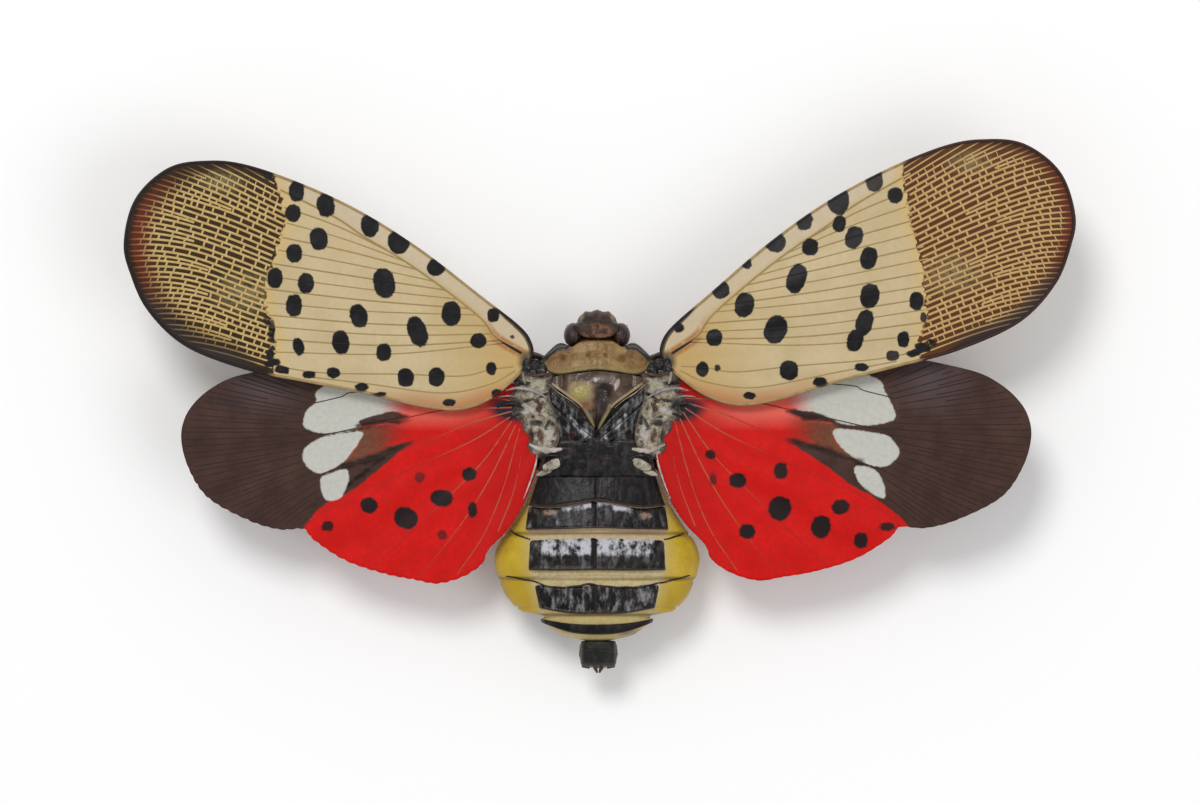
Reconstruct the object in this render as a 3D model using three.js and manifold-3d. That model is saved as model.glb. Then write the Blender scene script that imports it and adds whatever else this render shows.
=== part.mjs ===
// Spotted lanternfly (Lycorma delicatula), adult female, standing with both pairs of wings spread level.
// Millimetres. +Z is up with the floor at z = 0, -Y is the head end and +X is the insect's left side.
// x = 0 is the body's midline, and y = 0 is halfway along the whole outline seen from above.

import * as THREE from 'three';
import { mergeVertices } from 'three/addons/utils/BufferGeometryUtils.js';
import Module from 'manifold-3d';

const wasm = await Module();
wasm.setup();

// Driving dimensions
const GAP = 0.06; // clearance between neighbouring pieces
const WING_THICKNESS = 0.5;
const SHIELD_THICKNESS = 0.55; // pronotum and mesonotum plates
const SHIELD_DROP = 0.7; // how far the trunk lies below the dorsal line under a shield
const WAIST_HEIGHT = 3.1; // height of the trunk's widest line above the floor
const HINDWING_HEIGHT = 4.6; // mid surface of the hindwing at its root
const WING_SPACING = 0.62; // forewing above hindwing, mid surface to mid surface
const WING_RISE = { fore: 0.055, hind: 0.03 }; // rise per millimetre away from the body
const WING_CAMBER = { fore: 0.35, hind: 0.25 };
// The line along a wing where its arch is highest: set back from the hinge, slope, and the arch's half depth
const WING_CROWN = {
  fore: { back: 0, slope: -0.26, halfDepth: 6 },
  hind: { back: 2.6, slope: 0.05, halfDepth: 5 },
};
const CAMBER_REACH = 6; // distance from the hinge over which the arch grows to its full height
const CAMBER_SINK = 0.6; // part of the arch by which its edges lie below the mid surface

// Length of the trunk along y, and where its rings part
const TRUNK_JOINTS = { neck: -3.4, prothorax: -1.85, mesothorax: 1.15, metathorax: 3.5 };
const ABDOMEN_JOINTS = [3.5, 4.92, 6.82, 9.28, 11.1, 12.18];
const JOINT_BOW = 0.3; // the abdomen's joints run further back at the sides than at the middle

// Wing hinges, and how the right pair is held and stretched compared with the left pair
const HINGE = { fore: [3.4, -2.4], hind: [3.6, 0.3] };
const SPREAD = {
  left: {
    fore: { turn: 0, reach: 1, chord: 1, back: 0 },
    hind: { turn: 0, reach: 1, chord: 1, back: 0 },
  },
  right: {
    fore: { turn: -3.9, reach: 1.035, chord: 1, back: 0.04 },
    hind: { turn: 1.1, reach: 1.055, chord: 1.03, back: -0.5 },
  },
};

// Outlines of the left wings as [out from the midline, back], counted round from the front of the root
const FOREWING_OUTLINE = [
  [3.4, -3.2], [4.05, -4.15], [6, -5.68], [9, -8.0], [12, -9.92], [15, -11.36], [18, -12.4],
  [20, -12.62], [22, -12.25], [23.65, -10.7], [24.22, -8.5], [23.9, -6.9], [23, -5.0], [21.1, -3.2],
  [18, -2.0], [15, -1.38], [12, -0.8], [9, -0.1], [7, 0.04], [5.4, -0.57], [3.98, -1.8],
];
const HINDWING_OUTLINE = [
  [3.85, -0.9], [6, -1.6], [10, -2.1], [14, -2.3], [16, -2.1], [17.4, -1.84], [18.6, -1.56],
  [19.5, -1.18], [20.46, -0.48], [21.15, 0.44], [21.38, 1.6], [21, 3.1], [20, 4.6], [18, 5.73],
  [16.4, 6.22], [15.4, 6.14], [14.9, 6.45], [13, 7.82],
  [11, 8.51], [9.4, 8.83], [8.25, 9.03], [7, 8.7], [6, 8.05], [5.65, 7.3], [4.6, 6.2], [3.75, 4.76],
  [3.14, 2.9], [3.62, 1.7], [3.75, 0.4],
];

// Half outlines of the two thorax shields, from the front of the midline round to its back
const PRONOTUM_HALF = [
  [0, -3.48], [0.85, -3.45], [1.3, -3.05], [1.75, -3.3], [2.1, -3.3], [2.5, -2.9], [2.88, -2.5],
  [2.72, -2.05], [2.35, -1.84], [1.85, -1.76], [1.0, -1.88], [0, -1.98],
];
const MESONOTUM_HALF = [
  [0, -1.9], [1.0, -1.8], [1.85, -1.68], [2.32, -1.55], [2.46, -1.24], [1.9, -0.84], [1.0, -0.2],
  [0.74, 0.06], [0.36, 0.7], [0.1, 1.12], [0, 1.22],
];
const SHIELD_SIDE_DROP = { pronotum: 0.65, mesonotum: 0.4 }; // how far their sides hang below the middle
const WING_ROOT = { top: 5.0, inner: 2.4, fallOutward: 0.12, fallBackward: 0.03, thickness: 0.5 };
const WING_ROOT_OUTLINE = [
  [2.55, -1.15], [3.15, -1.5], [3.6, -1.2], [3.66, -0.2], [3.56, 0.6], [3.1, 1.0], [2.45, 0.95],
  [2.3, 0.3], [2.45, -0.5],
];

// Profiles of the body along y: dorsal line, belly line and half width
const RIDGE = [
  [-3.5, 4.7], [-2, 5.1], [-1, 5.38], [0.3, 5.4], [1.1, 5.22], [2.2, 4.95], [3.5, 4.92], [4.9, 5.1],
  [7.6, 5.25], [9.2, 5.05], [10.5, 4.72], [11.5, 4.3], [12.2, 3.9],
];
const BELLY = [
  [-3.5, 2.3], [-2.5, 1.9], [-1, 1.55], [3, 1.4], [8, 1.35], [10, 1.6], [11.5, 2.1], [12.2, 2.5],
];
const HALF_WIDTH = [
  [-3.5, 1.45], [-2.6, 1.95], [-1.7, 2.6], [0, 2.95], [2, 3.0], [3.5, 3.15], [4.2, 3.4], [5, 3.82],
  [6, 4.45], [7.1, 5.2], [7.7, 5.38], [8.4, 5.32], [9.1, 5.08], [9.9, 4.68], [10.6, 3.95],
  [11.1, 2.95], [11.6, 2.25], [12.2, 1.3],
];
const SHOULDER_SQUARENESS = [[-3.5, 2.4], [-1.5, 3.6], [2.5, 3.6], [4, 2.6], [6, 2.3], [12.2, 2.2]];
const BELLY_SQUARENESS = 2;

// Head, seen from the side: height, face, back of the head and half width
const HEAD_SECTIONS = [
  [1.6, -4.12, -3.72, 0.24], [1.95, -4.42, -3.56, 0.46], [2.4, -4.74, -3.54, 0.74],
  [2.9, -4.96, -3.54, 1.02], [3.4, -5.06, -3.54, 1.24], [3.9, -5.05, -3.54, 1.32],
  [4.25, -4.9, -3.54, 1.22], [4.5, -4.62, -3.58, 0.95], [4.62, -4.3, -3.7, 0.55],
];
const EYE = { centre: [1.22, -3.74, 3.64], radii: [0.52, 0.66, 0.72] };
const ANTENNA = { root: [0.75, -3.85, 2.6], bulb: [1.3, -3.9, 2.48], bulbRadius: 0.3, stemRadius: 0.25 };
const ANTENNA_TIP = { at: [1.6, -4.3, 1.75], radius: 0.12 };
const BEAK_ROUTE = [[0, -4.0, 1.3], [0, -2.2, 1.3], [0, 1.7, 1.08]];
const BEAK_RADII = [0.25, 0.25, 0.2];
const OVIPOSITOR = { from: 12.26, to: 13.8, halfWidth: 0.98, off: -0.07 };
// Its sections: part of the length, part of the half width, half height and height of the middle
const OVIPOSITOR_SECTIONS = [
  [0, 0.93, 0.5, 3.2], [0.27, 1, 0.6, 3.12], [0.72, 0.98, 0.48, 3.0], [0.82, 0.85, 0.34, 2.94],
  [0.86, 0.32, 0.24, 2.92], [1, 0.2, 0.14, 2.9],
];
const TEGULA = { centre: [2.9, -1.97, 4.86], radii: [0.34, 0.42, 0.25] };

// Left legs: hip, end of the coxa, knee, ankle and toe
const LEGS = {
  front: {
    points: [[1.1, -2.4, 1.9], [2.0, -2.2, 1.5], [5.3, -3.2, 3.5], [8.8, -4.9, 0.36], [10.5, -5.6, 0.16]],
    spines: 0,
  },
  middle: {
    points: [[1.2, -0.75, 1.75], [2.15, -0.65, 1.42], [5.6, 0.1, 3.4], [9.2, 1.0, 0.36], [11.0, 1.35, 0.16]],
    spines: 0,
  },
  hind: {
    points: [[1.2, 1.7, 1.65], [2.1, 2.15, 1.38], [5.3, 4.5, 3.4], [11.4, 6.3, 0.36], [13.4, 6.5, 0.16]],
    spines: 5,
  },
};
const LEG_RADII = {
  coxa: [0.34, 0.42, 0.36],
  femur: [0.28, 0.4, 0.27],
  tibia: [0.25, 0.26, 0.27],
  tarsus: [0.25, 0.3, 0.3],
};
const FEMUR_ARCH = 0.15;
const TIBIA_ARCH = 0.12;
const TARSUS_SAG = -0.08;
const LEG_CUT_REACH = 1.6; // length of trunk, each way from the hip, that a leg is fitted against
const FLOOR_BLOCK = { width: 80, depth: 2 };
const CLAW = { length: 0.42, radius: 0.16, tipRadius: 0.04, splay: 0.35, tipHeight: 0.12 };
const SPINE = { reach: 0.52, lean: 0.14, radius: 0.15 };

// Mesh fineness
const TRUNK_SIDES = 18;
const TRUNK_RINGS = 3;
const LIMB_SIDES = 7;
const LIMB_RINGS = 4;
const LIMB_DOME = 0.5; // height of a limb's rounded end, in radii
const BALL_SIDES = 9;
const CONE_SIDES = 5;
const OVIPOSITOR_SIDES = 16;
const BEAK_CUTTER_RINGS = 10;
const WING_STEP = 1.4;
const SHIELD_STEP = 0.6;
const PLATE_RINGS = 3;

// Finishes as [colour, roughness]
const FINISH = {
  shell: ['#221f22', 0.35],
  face: ['#3a2c22', 0.45],
  eye: ['#1d1413', 0.15],
  antenna: ['#d2561f', 0.45],
  pronotum: ['#9a8155', 0.5],
  mesonotum: ['#5c5142', 0.3],
  membrane: ['#c9bf9a', 0.6],
  abdomen: ['#c3ad3c', 0.45],
  forewing: ['#c7b68c', 0.45],
  hindwing: ['#c81a18', 0.45],
  leg: ['#2a211d', 0.4],
};

const group = new THREE.Group();

function addPiece(name, geometry, finish) {
  const [color, roughness] = FINISH[finish];
  const mesh = new THREE.Mesh(geometry, new THREE.MeshStandardMaterial({ color, roughness, metalness: 0 }));
  mesh.name = name;
  group.add(mesh);
}

// Smooth curve through [position, value] stations
function profile(stations) {
  const last = stations.length - 1;
  const slope = (i) => {
    const before = stations[Math.max(i - 1, 0)];
    const after = stations[Math.min(i + 1, last)];
    return (after[1] - before[1]) / (after[0] - before[0]);
  };
  return (t) => {
    const clamped = Math.min(Math.max(t, stations[0][0]), stations[last][0]);
    let i = 0;
    while (i < last - 1 && clamped > stations[i + 1][0]) i += 1;
    const [t0, v0] = stations[i];
    const [t1, v1] = stations[i + 1];
    const span = t1 - t0;
    const s = (clamped - t0) / span;
    const rise = s * s * (3 - 2 * s);
    const lead = s * (1 - s) * (1 - s) * span * slope(i);
    const trail = s * s * (1 - s) * span * slope(i + 1);
    return v0 + (v1 - v0) * rise + lead - trail;
  };
}

const ridgeAt = profile(RIDGE);
const bellyAt = profile(BELLY);
const halfWidthAt = profile(HALF_WIDTH);
const squarenessAt = profile(SHOULDER_SQUARENESS);

function signedPower(value, power) {
  return Math.sign(value) * Math.abs(value) ** power;
}

// Closed solid through rings of equally many points, its faces turned outwards. A dome lifts the middle of
// each end cap away from the solid.
function ringSolid(rings, dome = 0) {
  const count = rings[0].length;
  const positions = [];
  const index = [];
  for (const ring of rings) {
    for (const p of ring) positions.push(...p);
  }
  const middleOf = (ring) => [0, 1, 2].map((k) => ring.reduce((sum, p) => sum + p[k], 0) / count);
  const addCap = (ring, next, first, flip) => {
    const middle = new THREE.Vector3(...middleOf(ring));
    const outward = middle.clone().sub(new THREE.Vector3(...middleOf(next))).normalize();
    const centre = middle.addScaledVector(outward, dome).toArray();
    const at = positions.length / 3;
    positions.push(...centre);
    for (let i = 0; i < count; i += 1) {
      const a = first + i;
      const b = first + ((i + 1) % count);
      index.push(...(flip ? [at, b, a] : [at, a, b]));
    }
  };
  for (let r = 0; r < rings.length - 1; r += 1) {
    for (let i = 0; i < count; i += 1) {
      const a = r * count + i;
      const b = r * count + ((i + 1) % count);
      index.push(a, b, b + count, a, b + count, a + count);
    }
  }
  const last = rings.length - 1;
  addCap(rings[0], rings[1], 0, true);
  addCap(rings[last], rings[last - 1], last * count, false);
  return facingOut(positions, index);
}

function facingOut(positions, index) {
  const corner = (i) => new THREE.Vector3(...positions.slice(3 * i, 3 * i + 3));
  let volume = 0;
  for (let i = 0; i < index.length; i += 3) {
    const [a, b, c] = [corner(index[i]), corner(index[i + 1]), corner(index[i + 2])];
    volume += a.dot(b.cross(c));
  }
  if (volume < 0) {
    for (let i = 0; i < index.length; i += 3) {
      [index[i + 1], index[i + 2]] = [index[i + 2], index[i + 1]];
    }
  }
  const geometry = new THREE.BufferGeometry();
  geometry.setAttribute('position', new THREE.Float32BufferAttribute(positions, 3));
  geometry.setIndex(index);
  geometry.computeVertexNormals();
  return geometry;
}

function toSolid(geometry) {
  const bare = geometry.clone();
  bare.deleteAttribute('normal');
  bare.deleteAttribute('uv');
  const merged = mergeVertices(bare, 1e-4);
  return new wasm.Manifold(new wasm.Mesh({
    numProp: 3,
    vertProperties: new Float32Array(merged.attributes.position.array),
    triVerts: new Uint32Array(merged.index.array),
  }));
}

function toGeometry(solid) {
  const mesh = solid.getMesh();
  return facingOut(Array.from(mesh.vertProperties), Array.from(mesh.triVerts));
}

function joined(...geometries) {
  return toGeometry(geometries.map(toSolid).reduce((whole, next) => whole.add(next)));
}

// What is left of a piece once others are cut from it, without loose crumbs
function cutBy(geometry, ...cutters) {
  const rest = cutters.map(toSolid).reduce((whole, cutter) => whole.subtract(cutter), toSolid(geometry));
  const bodies = rest.decompose().sort((a, b) => b.volume() - a.volume());
  return toGeometry(bodies[0]);
}

function ellipsoid({ centre, radii }, side, extra = 0) {
  const geometry = new THREE.SphereGeometry(1, BALL_SIDES, Math.round(0.7 * BALL_SIDES));
  geometry.scale(radii[0] + extra, radii[1] + extra, radii[2] + extra);
  geometry.translate(side * centre[0], centre[1], centre[2]);
  return geometry;
}

// Trunk between two stations on y. Its end faces bow backwards at the sides, and extra makes it stouter.
function trunk(from, to, { bowFrom = 0, bowTo = 0, drop = 0, extra = 0, steps = TRUNK_RINGS } = {}) {
  const rings = [];
  for (let r = 0; r <= steps; r += 1) {
    const t = r / steps;
    const ring = [];
    for (let i = 0; i < TRUNK_SIDES; i += 1) {
      const angle = (2 * Math.PI * i) / TRUNK_SIDES;
      const bow = (bowFrom * (1 - t) + bowTo * t) * Math.cos(angle) ** 2;
      const y = from + (to - from) * t + bow;
      const power = 2 / (Math.sin(angle) > 0 ? squarenessAt(y) : BELLY_SQUARENESS);
      const across = signedPower(Math.cos(angle), power) * (halfWidthAt(y) + extra);
      const rise = signedPower(Math.sin(angle), power);
      const top = ridgeAt(y) - drop - WAIST_HEIGHT + extra;
      const bottom = WAIST_HEIGHT - bellyAt(y) + extra;
      ring.push([across, y, WAIST_HEIGHT + rise * (rise > 0 ? top : bottom)]);
    }
    rings.push(ring);
  }
  return ringSolid(rings);
}

// Limb of round section through three points, bending at the middle one, with radii at its start, middle and
// end. Extra makes it stouter all round.
function limb(points, radii, { flatten = 1, extra = 0 } = {}) {
  const path = new THREE.QuadraticBezierCurve3(...points.map((p) => new THREE.Vector3(...p)));
  const [r0, r1, r2] = radii;
  const up = new THREE.Vector3(0, 0, 1);
  const list = [];
  for (let r = 0; r <= LIMB_RINGS; r += 1) {
    const t = r / LIMB_RINGS;
    const along = path.getTangent(t);
    const centre = path.getPoint(t).addScaledVector(along, extra * (2 * t - 1));
    const acrossAxis = new THREE.Vector3().crossVectors(up, along).normalize();
    const upAxis = new THREE.Vector3().crossVectors(along, acrossAxis).normalize();
    const swell = 2 * (2 * r1 - (r0 + r2) / 2) * t * (1 - t);
    const radius = r0 * (1 - t) ** 2 + swell + r2 * t * t + extra;
    const ring = [];
    for (let i = 0; i < LIMB_SIDES; i += 1) {
      const angle = (2 * Math.PI * (i + 0.5)) / LIMB_SIDES;
      const p = centre.clone()
        .addScaledVector(acrossAxis, radius * Math.cos(angle))
        .addScaledVector(upAxis, radius * Math.sin(angle) * flatten);
      ring.push(p.toArray());
    }
    list.push(ring);
  }
  return ringSolid(list, 0.5 * (r0 + r2) * LIMB_DOME);
}

function cone(from, to, radius, tipRadius = 0.02) {
  const start = new THREE.Vector3(...from);
  const end = new THREE.Vector3(...to);
  const geometry = new THREE.CylinderGeometry(tipRadius, radius, start.distanceTo(end), CONE_SIDES);
  const turn = new THREE.Quaternion().setFromUnitVectors(
    new THREE.Vector3(0, 1, 0),
    end.clone().sub(start).normalize(),
  );
  geometry.applyQuaternion(turn);
  geometry.translate(...start.add(end).multiplyScalar(0.5).toArray());
  return geometry;
}

// Points along a smooth closed outline
function smoothOutline(corners, step) {
  const curve = new THREE.CatmullRomCurve3(
    corners.map(([x, y]) => new THREE.Vector3(x, y, 0)),
    true,
    'centripetal',
  );
  const count = Math.max(20, Math.round(curve.getLength() / step));
  return curve.getSpacedPoints(count).slice(0, count).map((p) => [p.x, p.y]);
}

// Plate over an outline, between a top height and a thickness below it, with a softened rim
function plate(outline, topAt, thickness, rings = PLATE_RINGS) {
  const count = outline.length;
  const middle = [0, 1].map((k) => outline.reduce((sum, p) => sum + p[k], 0) / count);
  const rim = 0.25 * thickness;
  const shell = (height, inset) => outline.map(([x, y]) => {
    const away = Math.hypot(x - middle[0], y - middle[1]);
    const keep = 1 - inset / away;
    const px = middle[0] + (x - middle[0]) * keep;
    const py = middle[1] + (y - middle[1]) * keep;
    return [px, py, topAt(px, py) - height];
  });
  const inner = (height) => {
    const list = [];
    for (let r = 1; r < rings; r += 1) {
      const keep = r / rings;
      list.push(outline.map(([x, y]) => {
        const px = middle[0] + (x - middle[0]) * keep;
        const py = middle[1] + (y - middle[1]) * keep;
        return [px, py, topAt(px, py) - height];
      }));
    }
    return list;
  };
  return ringSolid([
    ...inner(0),
    shell(0, rim),
    shell(rim, 0),
    shell(thickness - rim, 0),
    shell(thickness, rim),
    ...inner(thickness).reverse(),
  ]);
}

// Wings
function placedWing(kind, corners, side) {
  const { turn, reach, chord, back } = SPREAD[side > 0 ? 'left' : 'right'][kind];
  const [hx, hy] = HINGE[kind];
  const angle = THREE.MathUtils.degToRad(turn);
  return corners.map(([x, y]) => {
    const out = (x - hx) * reach;
    const aft = (y - hy) * chord;
    return [
      side * (hx + out * Math.cos(angle) - aft * Math.sin(angle)),
      hy + back + out * Math.sin(angle) + aft * Math.cos(angle),
    ];
  });
}

// Mid surface of each wing: rising away from the body and arched from front to back
function wingSurface(kind) {
  const root = HINDWING_HEIGHT + (kind === 'fore' ? WING_SPACING : 0);
  const [hx, hy] = HINGE[kind];
  const { back, slope, halfDepth } = WING_CROWN[kind];
  return (x, y) => {
    const out = Math.max(Math.abs(x) - hx, 0);
    const across = (y - hy - back - slope * (Math.abs(x) - hx)) / halfDepth;
    const spread = Math.min(out / CAMBER_REACH, 1);
    const arch = Math.cos((across * Math.PI) / 2) - CAMBER_SINK;
    return root + WING_RISE[kind] * out + WING_CAMBER[kind] * spread * arch;
  };
}

function wing(kind, corners, side) {
  const mid = wingSurface(kind);
  const outline = placedWing(kind, smoothOutline(corners, WING_STEP), side);
  return plate(outline, (x, y) => mid(x, y) + WING_THICKNESS / 2, WING_THICKNESS);
}

// Thorax shields
function mirrored(half) {
  const other = half.slice(1, -1).reverse().map(([x, y]) => [-x, y]);
  return [...half, ...other];
}

function shield(half, sideDrop) {
  const reach = Math.max(...half.map(([x]) => x));
  const topAt = (x, y) => ridgeAt(y) - sideDrop * (Math.abs(x) / reach) ** 2;
  return plate(smoothOutline(mirrored(half), SHIELD_STEP), topAt, SHIELD_THICKNESS);
}

// Head with a socket for each eye
function head(extra = 0) {
  const rings = HEAD_SECTIONS.map(([z, face, back, halfWidth]) => {
    const ring = [];
    for (let i = 0; i < TRUNK_SIDES; i += 1) {
      const angle = (2 * Math.PI * i) / TRUNK_SIDES;
      const across = signedPower(Math.cos(angle), 0.8) * (halfWidth + extra);
      const along = signedPower(Math.sin(angle), 0.8) * ((back - face) / 2 + extra);
      ring.push([across, (face + back) / 2 + along, z]);
    }
    return ring;
  });
  return ringSolid(rings);
}

function antenna(side) {
  const { root, bulb, bulbRadius, stemRadius } = ANTENNA;
  const mirror = ([x, y, z]) => [side * x, y, z];
  const ball = ellipsoid({ centre: bulb, radii: [bulbRadius, bulbRadius, bulbRadius] }, side);
  const stem = cone(mirror(root), mirror(bulb), stemRadius, stemRadius);
  const feeler = cone(mirror(bulb), mirror(ANTENNA_TIP.at), stemRadius, ANTENNA_TIP.radius);
  return cutBy(joined(ball, stem, feeler), head(GAP), ellipsoid(EYE, side, GAP));
}

// Legs
function between(a, b, t) {
  return a.map((v, k) => v + (b[k] - v) * t);
}

// Three points from a to b, the middle one lifted
function span(a, b, lift = 0) {
  const middle = between(a, b, 0.5);
  middle[2] += lift;
  return [a, middle, b];
}

function withSpines(tibia, points, count, side) {
  let leg = tibia;
  for (let i = 0; i < count; i += 1) {
    const t = (i + 1.5) / (count + 1);
    const root = between(points[0], points[2], t);
    const tip = [root[0] + side * SPINE.lean, root[1] + SPINE.reach, root[2] - SPINE.lean];
    leg = joined(leg, cone(root, tip, SPINE.radius));
  }
  return leg;
}

// Foot with two claws and a flat sole at the floor
function tarsus(points, radii) {
  const [start, , end] = points;
  const along = new THREE.Vector3(end[0] - start[0], end[1] - start[1], 0).normalize();
  const across = new THREE.Vector3(-along.y, along.x, 0);
  let whole = limb(points, radii);
  for (const turn of [-1, 1]) {
    const tip = new THREE.Vector3(...end)
      .addScaledVector(along, CLAW.length)
      .addScaledVector(across, turn * CLAW.splay)
      .setZ(CLAW.tipHeight);
    whole = joined(whole, cone(between(start, end, 0.9), tip.toArray(), CLAW.radius, CLAW.tipRadius));
  }
  const floor = new THREE.BoxGeometry(FLOOR_BLOCK.width, FLOOR_BLOCK.width, FLOOR_BLOCK.depth);
  floor.translate(0, 0, -FLOOR_BLOCK.depth / 2);
  return cutBy(whole, floor);
}

function addLeg(place, side) {
  const sideName = side > 0 ? 'left' : 'right';
  const [hip, hipEnd, knee, ankle, toe] = LEGS[place].points.map(([x, y, z]) => [side * x, y, z]);
  const segments = {
    coxa: span(hip, hipEnd),
    femur: span(hipEnd, knee, FEMUR_ARCH),
    tibia: span(knee, ankle, TIBIA_ARCH),
    tarsus: span(ankle, toe, TARSUS_SAG),
  };
  const around = (segment) => limb(segments[segment], LEG_RADII[segment], { extra: GAP });
  const cut = { from: hip[1] - LEG_CUT_REACH, to: hip[1] + LEG_CUT_REACH };
  const trunkAround = trunk(cut.from, cut.to, { extra: GAP, drop: SHIELD_DROP });
  const tibia = withSpines(limb(segments.tibia, LEG_RADII.tibia), segments.tibia, LEGS[place].spines, side);
  const pieces = {
    coxa: cutBy(limb(segments.coxa, LEG_RADII.coxa), trunkAround),
    femur: cutBy(limb(segments.femur, LEG_RADII.femur), around('coxa'), trunkAround),
    tibia: cutBy(tibia, around('femur')),
    tarsus: cutBy(tarsus(segments.tarsus, LEG_RADII.tarsus), around('tibia')),
  };
  for (const [segment, piece] of Object.entries(pieces)) {
    addPiece(`${segment}_${place}_${sideName}`, piece, 'leg');
  }
}

function wingRoot(side) {
  const { top, inner, fallOutward, fallBackward, thickness } = WING_ROOT;
  const topAt = (x, y) => top - fallOutward * (Math.abs(x) - inner) - fallBackward * y;
  const outline = smoothOutline(WING_ROOT_OUTLINE, SHIELD_STEP).map(([x, y]) => [side * x, y]);
  return plate(outline, topAt, thickness);
}

// Body
const bothEyes = (extra) => [1, -1].map((side) => ellipsoid(EYE, side, extra));
const trunkParts = [
  ['prothorax', TRUNK_JOINTS.neck, TRUNK_JOINTS.prothorax, SHIELD_DROP, 'membrane'],
  ['mesothorax', TRUNK_JOINTS.prothorax, TRUNK_JOINTS.mesothorax, SHIELD_DROP, 'membrane'],
  ['metathorax', TRUNK_JOINTS.mesothorax, TRUNK_JOINTS.metathorax, 0, 'shell'],
];
for (const [name, from, to, drop, finish] of trunkParts) {
  const piece = trunk(from + GAP / 2, to - GAP / 2, { drop });
  addPiece(name, name === 'prothorax' ? cutBy(piece, ...bothEyes(GAP)) : piece, finish);
}
for (let i = 0; i < ABDOMEN_JOINTS.length - 1; i += 1) {
  const segment = trunk(ABDOMEN_JOINTS[i] + GAP / 2, ABDOMEN_JOINTS[i + 1] - GAP / 2, {
    bowFrom: i === 0 ? 0 : JOINT_BOW,
    bowTo: i === ABDOMEN_JOINTS.length - 2 ? 0 : JOINT_BOW,
  });
  addPiece(`abdomen_${i + 1}`, segment, 'abdomen');
}

function ovipositor() {
  const { from, to, halfWidth, off } = OVIPOSITOR;
  return ringSolid(OVIPOSITOR_SECTIONS.map(([t, across, halfHeight, z]) => {
    const ring = [];
    for (let i = 0; i < OVIPOSITOR_SIDES; i += 1) {
      const angle = (2 * Math.PI * i) / OVIPOSITOR_SIDES;
      ring.push([
        off + halfWidth * across * Math.cos(angle),
        from + (to - from) * t,
        z + halfHeight * Math.sin(angle),
      ]);
    }
    return ring;
  }));
}
addPiece('ovipositor', ovipositor(), 'shell');

addPiece('head', cutBy(head(), ...bothEyes(GAP)), 'face');
addPiece('pronotum', cutBy(shield(PRONOTUM_HALF, SHIELD_SIDE_DROP.pronotum), ...bothEyes(GAP)), 'pronotum');
addPiece('mesonotum', shield(MESONOTUM_HALF, SHIELD_SIDE_DROP.mesonotum), 'mesonotum');
const beakCutters = [
  head(GAP),
  trunk(TRUNK_JOINTS.neck - GAP, TRUNK_JOINTS.metathorax, {
    drop: SHIELD_DROP, extra: GAP, steps: BEAK_CUTTER_RINGS,
  }),
];
addPiece('beak', cutBy(limb(BEAK_ROUTE, BEAK_RADII), ...beakCutters), 'face');

for (const side of [1, -1]) {
  const sideName = side > 0 ? 'left' : 'right';
  addPiece(`eye_${sideName}`, ellipsoid(EYE, side), 'eye');
  addPiece(`antenna_${sideName}`, antenna(side), 'antenna');
  addPiece(`tegula_${sideName}`, ellipsoid(TEGULA, side), 'membrane');
  addPiece(`wing_root_${sideName}`, wingRoot(side), 'membrane');
  addPiece(`forewing_${sideName}`, wing('fore', FOREWING_OUTLINE, side), 'forewing');
  addPiece(`hindwing_${sideName}`, wing('hind', HINDWING_OUTLINE, side), 'hindwing');
  for (const place of Object.keys(LEGS)) addLeg(place, side);
}

export default group;
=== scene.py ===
import math
import random

import bpy
import numpy as np
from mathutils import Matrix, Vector, noise


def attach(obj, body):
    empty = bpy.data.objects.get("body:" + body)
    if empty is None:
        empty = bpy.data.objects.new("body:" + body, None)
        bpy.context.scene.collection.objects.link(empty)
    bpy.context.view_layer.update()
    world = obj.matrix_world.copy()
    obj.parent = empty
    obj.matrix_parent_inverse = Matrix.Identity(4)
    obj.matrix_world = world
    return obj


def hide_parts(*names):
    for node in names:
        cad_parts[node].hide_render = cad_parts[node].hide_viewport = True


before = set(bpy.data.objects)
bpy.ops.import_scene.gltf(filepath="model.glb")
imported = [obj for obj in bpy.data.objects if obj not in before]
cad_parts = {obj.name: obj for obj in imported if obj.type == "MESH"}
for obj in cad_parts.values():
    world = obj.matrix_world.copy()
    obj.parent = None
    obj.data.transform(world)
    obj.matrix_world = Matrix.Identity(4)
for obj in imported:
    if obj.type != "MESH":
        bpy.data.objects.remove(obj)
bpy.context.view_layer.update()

# All sizes below are in millimetres. Blender's metres come from MM.
MM = 0.001
SIDES = {"left": 1, "right": -1}

# Wings, as in the solids: hinge, hold of each side, and outlines of the left pair
HINGE = {"fore": (3.4, -2.4), "hind": (3.6, 0.3)}
HOLD = {
    ("fore", "left"): {"turn": 0.0, "reach": 1.0, "chord": 1.0, "back": 0.0},
    ("fore", "right"): {"turn": -3.9, "reach": 1.035, "chord": 1.0, "back": 0.04},
    ("hind", "left"): {"turn": 0.0, "reach": 1.0, "chord": 1.0, "back": 0.0},
    ("hind", "right"): {"turn": 1.1, "reach": 1.055, "chord": 1.03, "back": -0.5},
}
WING_HEIGHT = {"fore": 5.22, "hind": 4.6}
WING_RISE = {"fore": 0.055, "hind": 0.03}
WING_CAMBER = {"fore": 0.35, "hind": 0.25}
MEMBRANE = 0.09
SCALLOP = 0.52
SCALLOP_DEPTH = {"left": 0.06, "right": 0.025}
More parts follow.
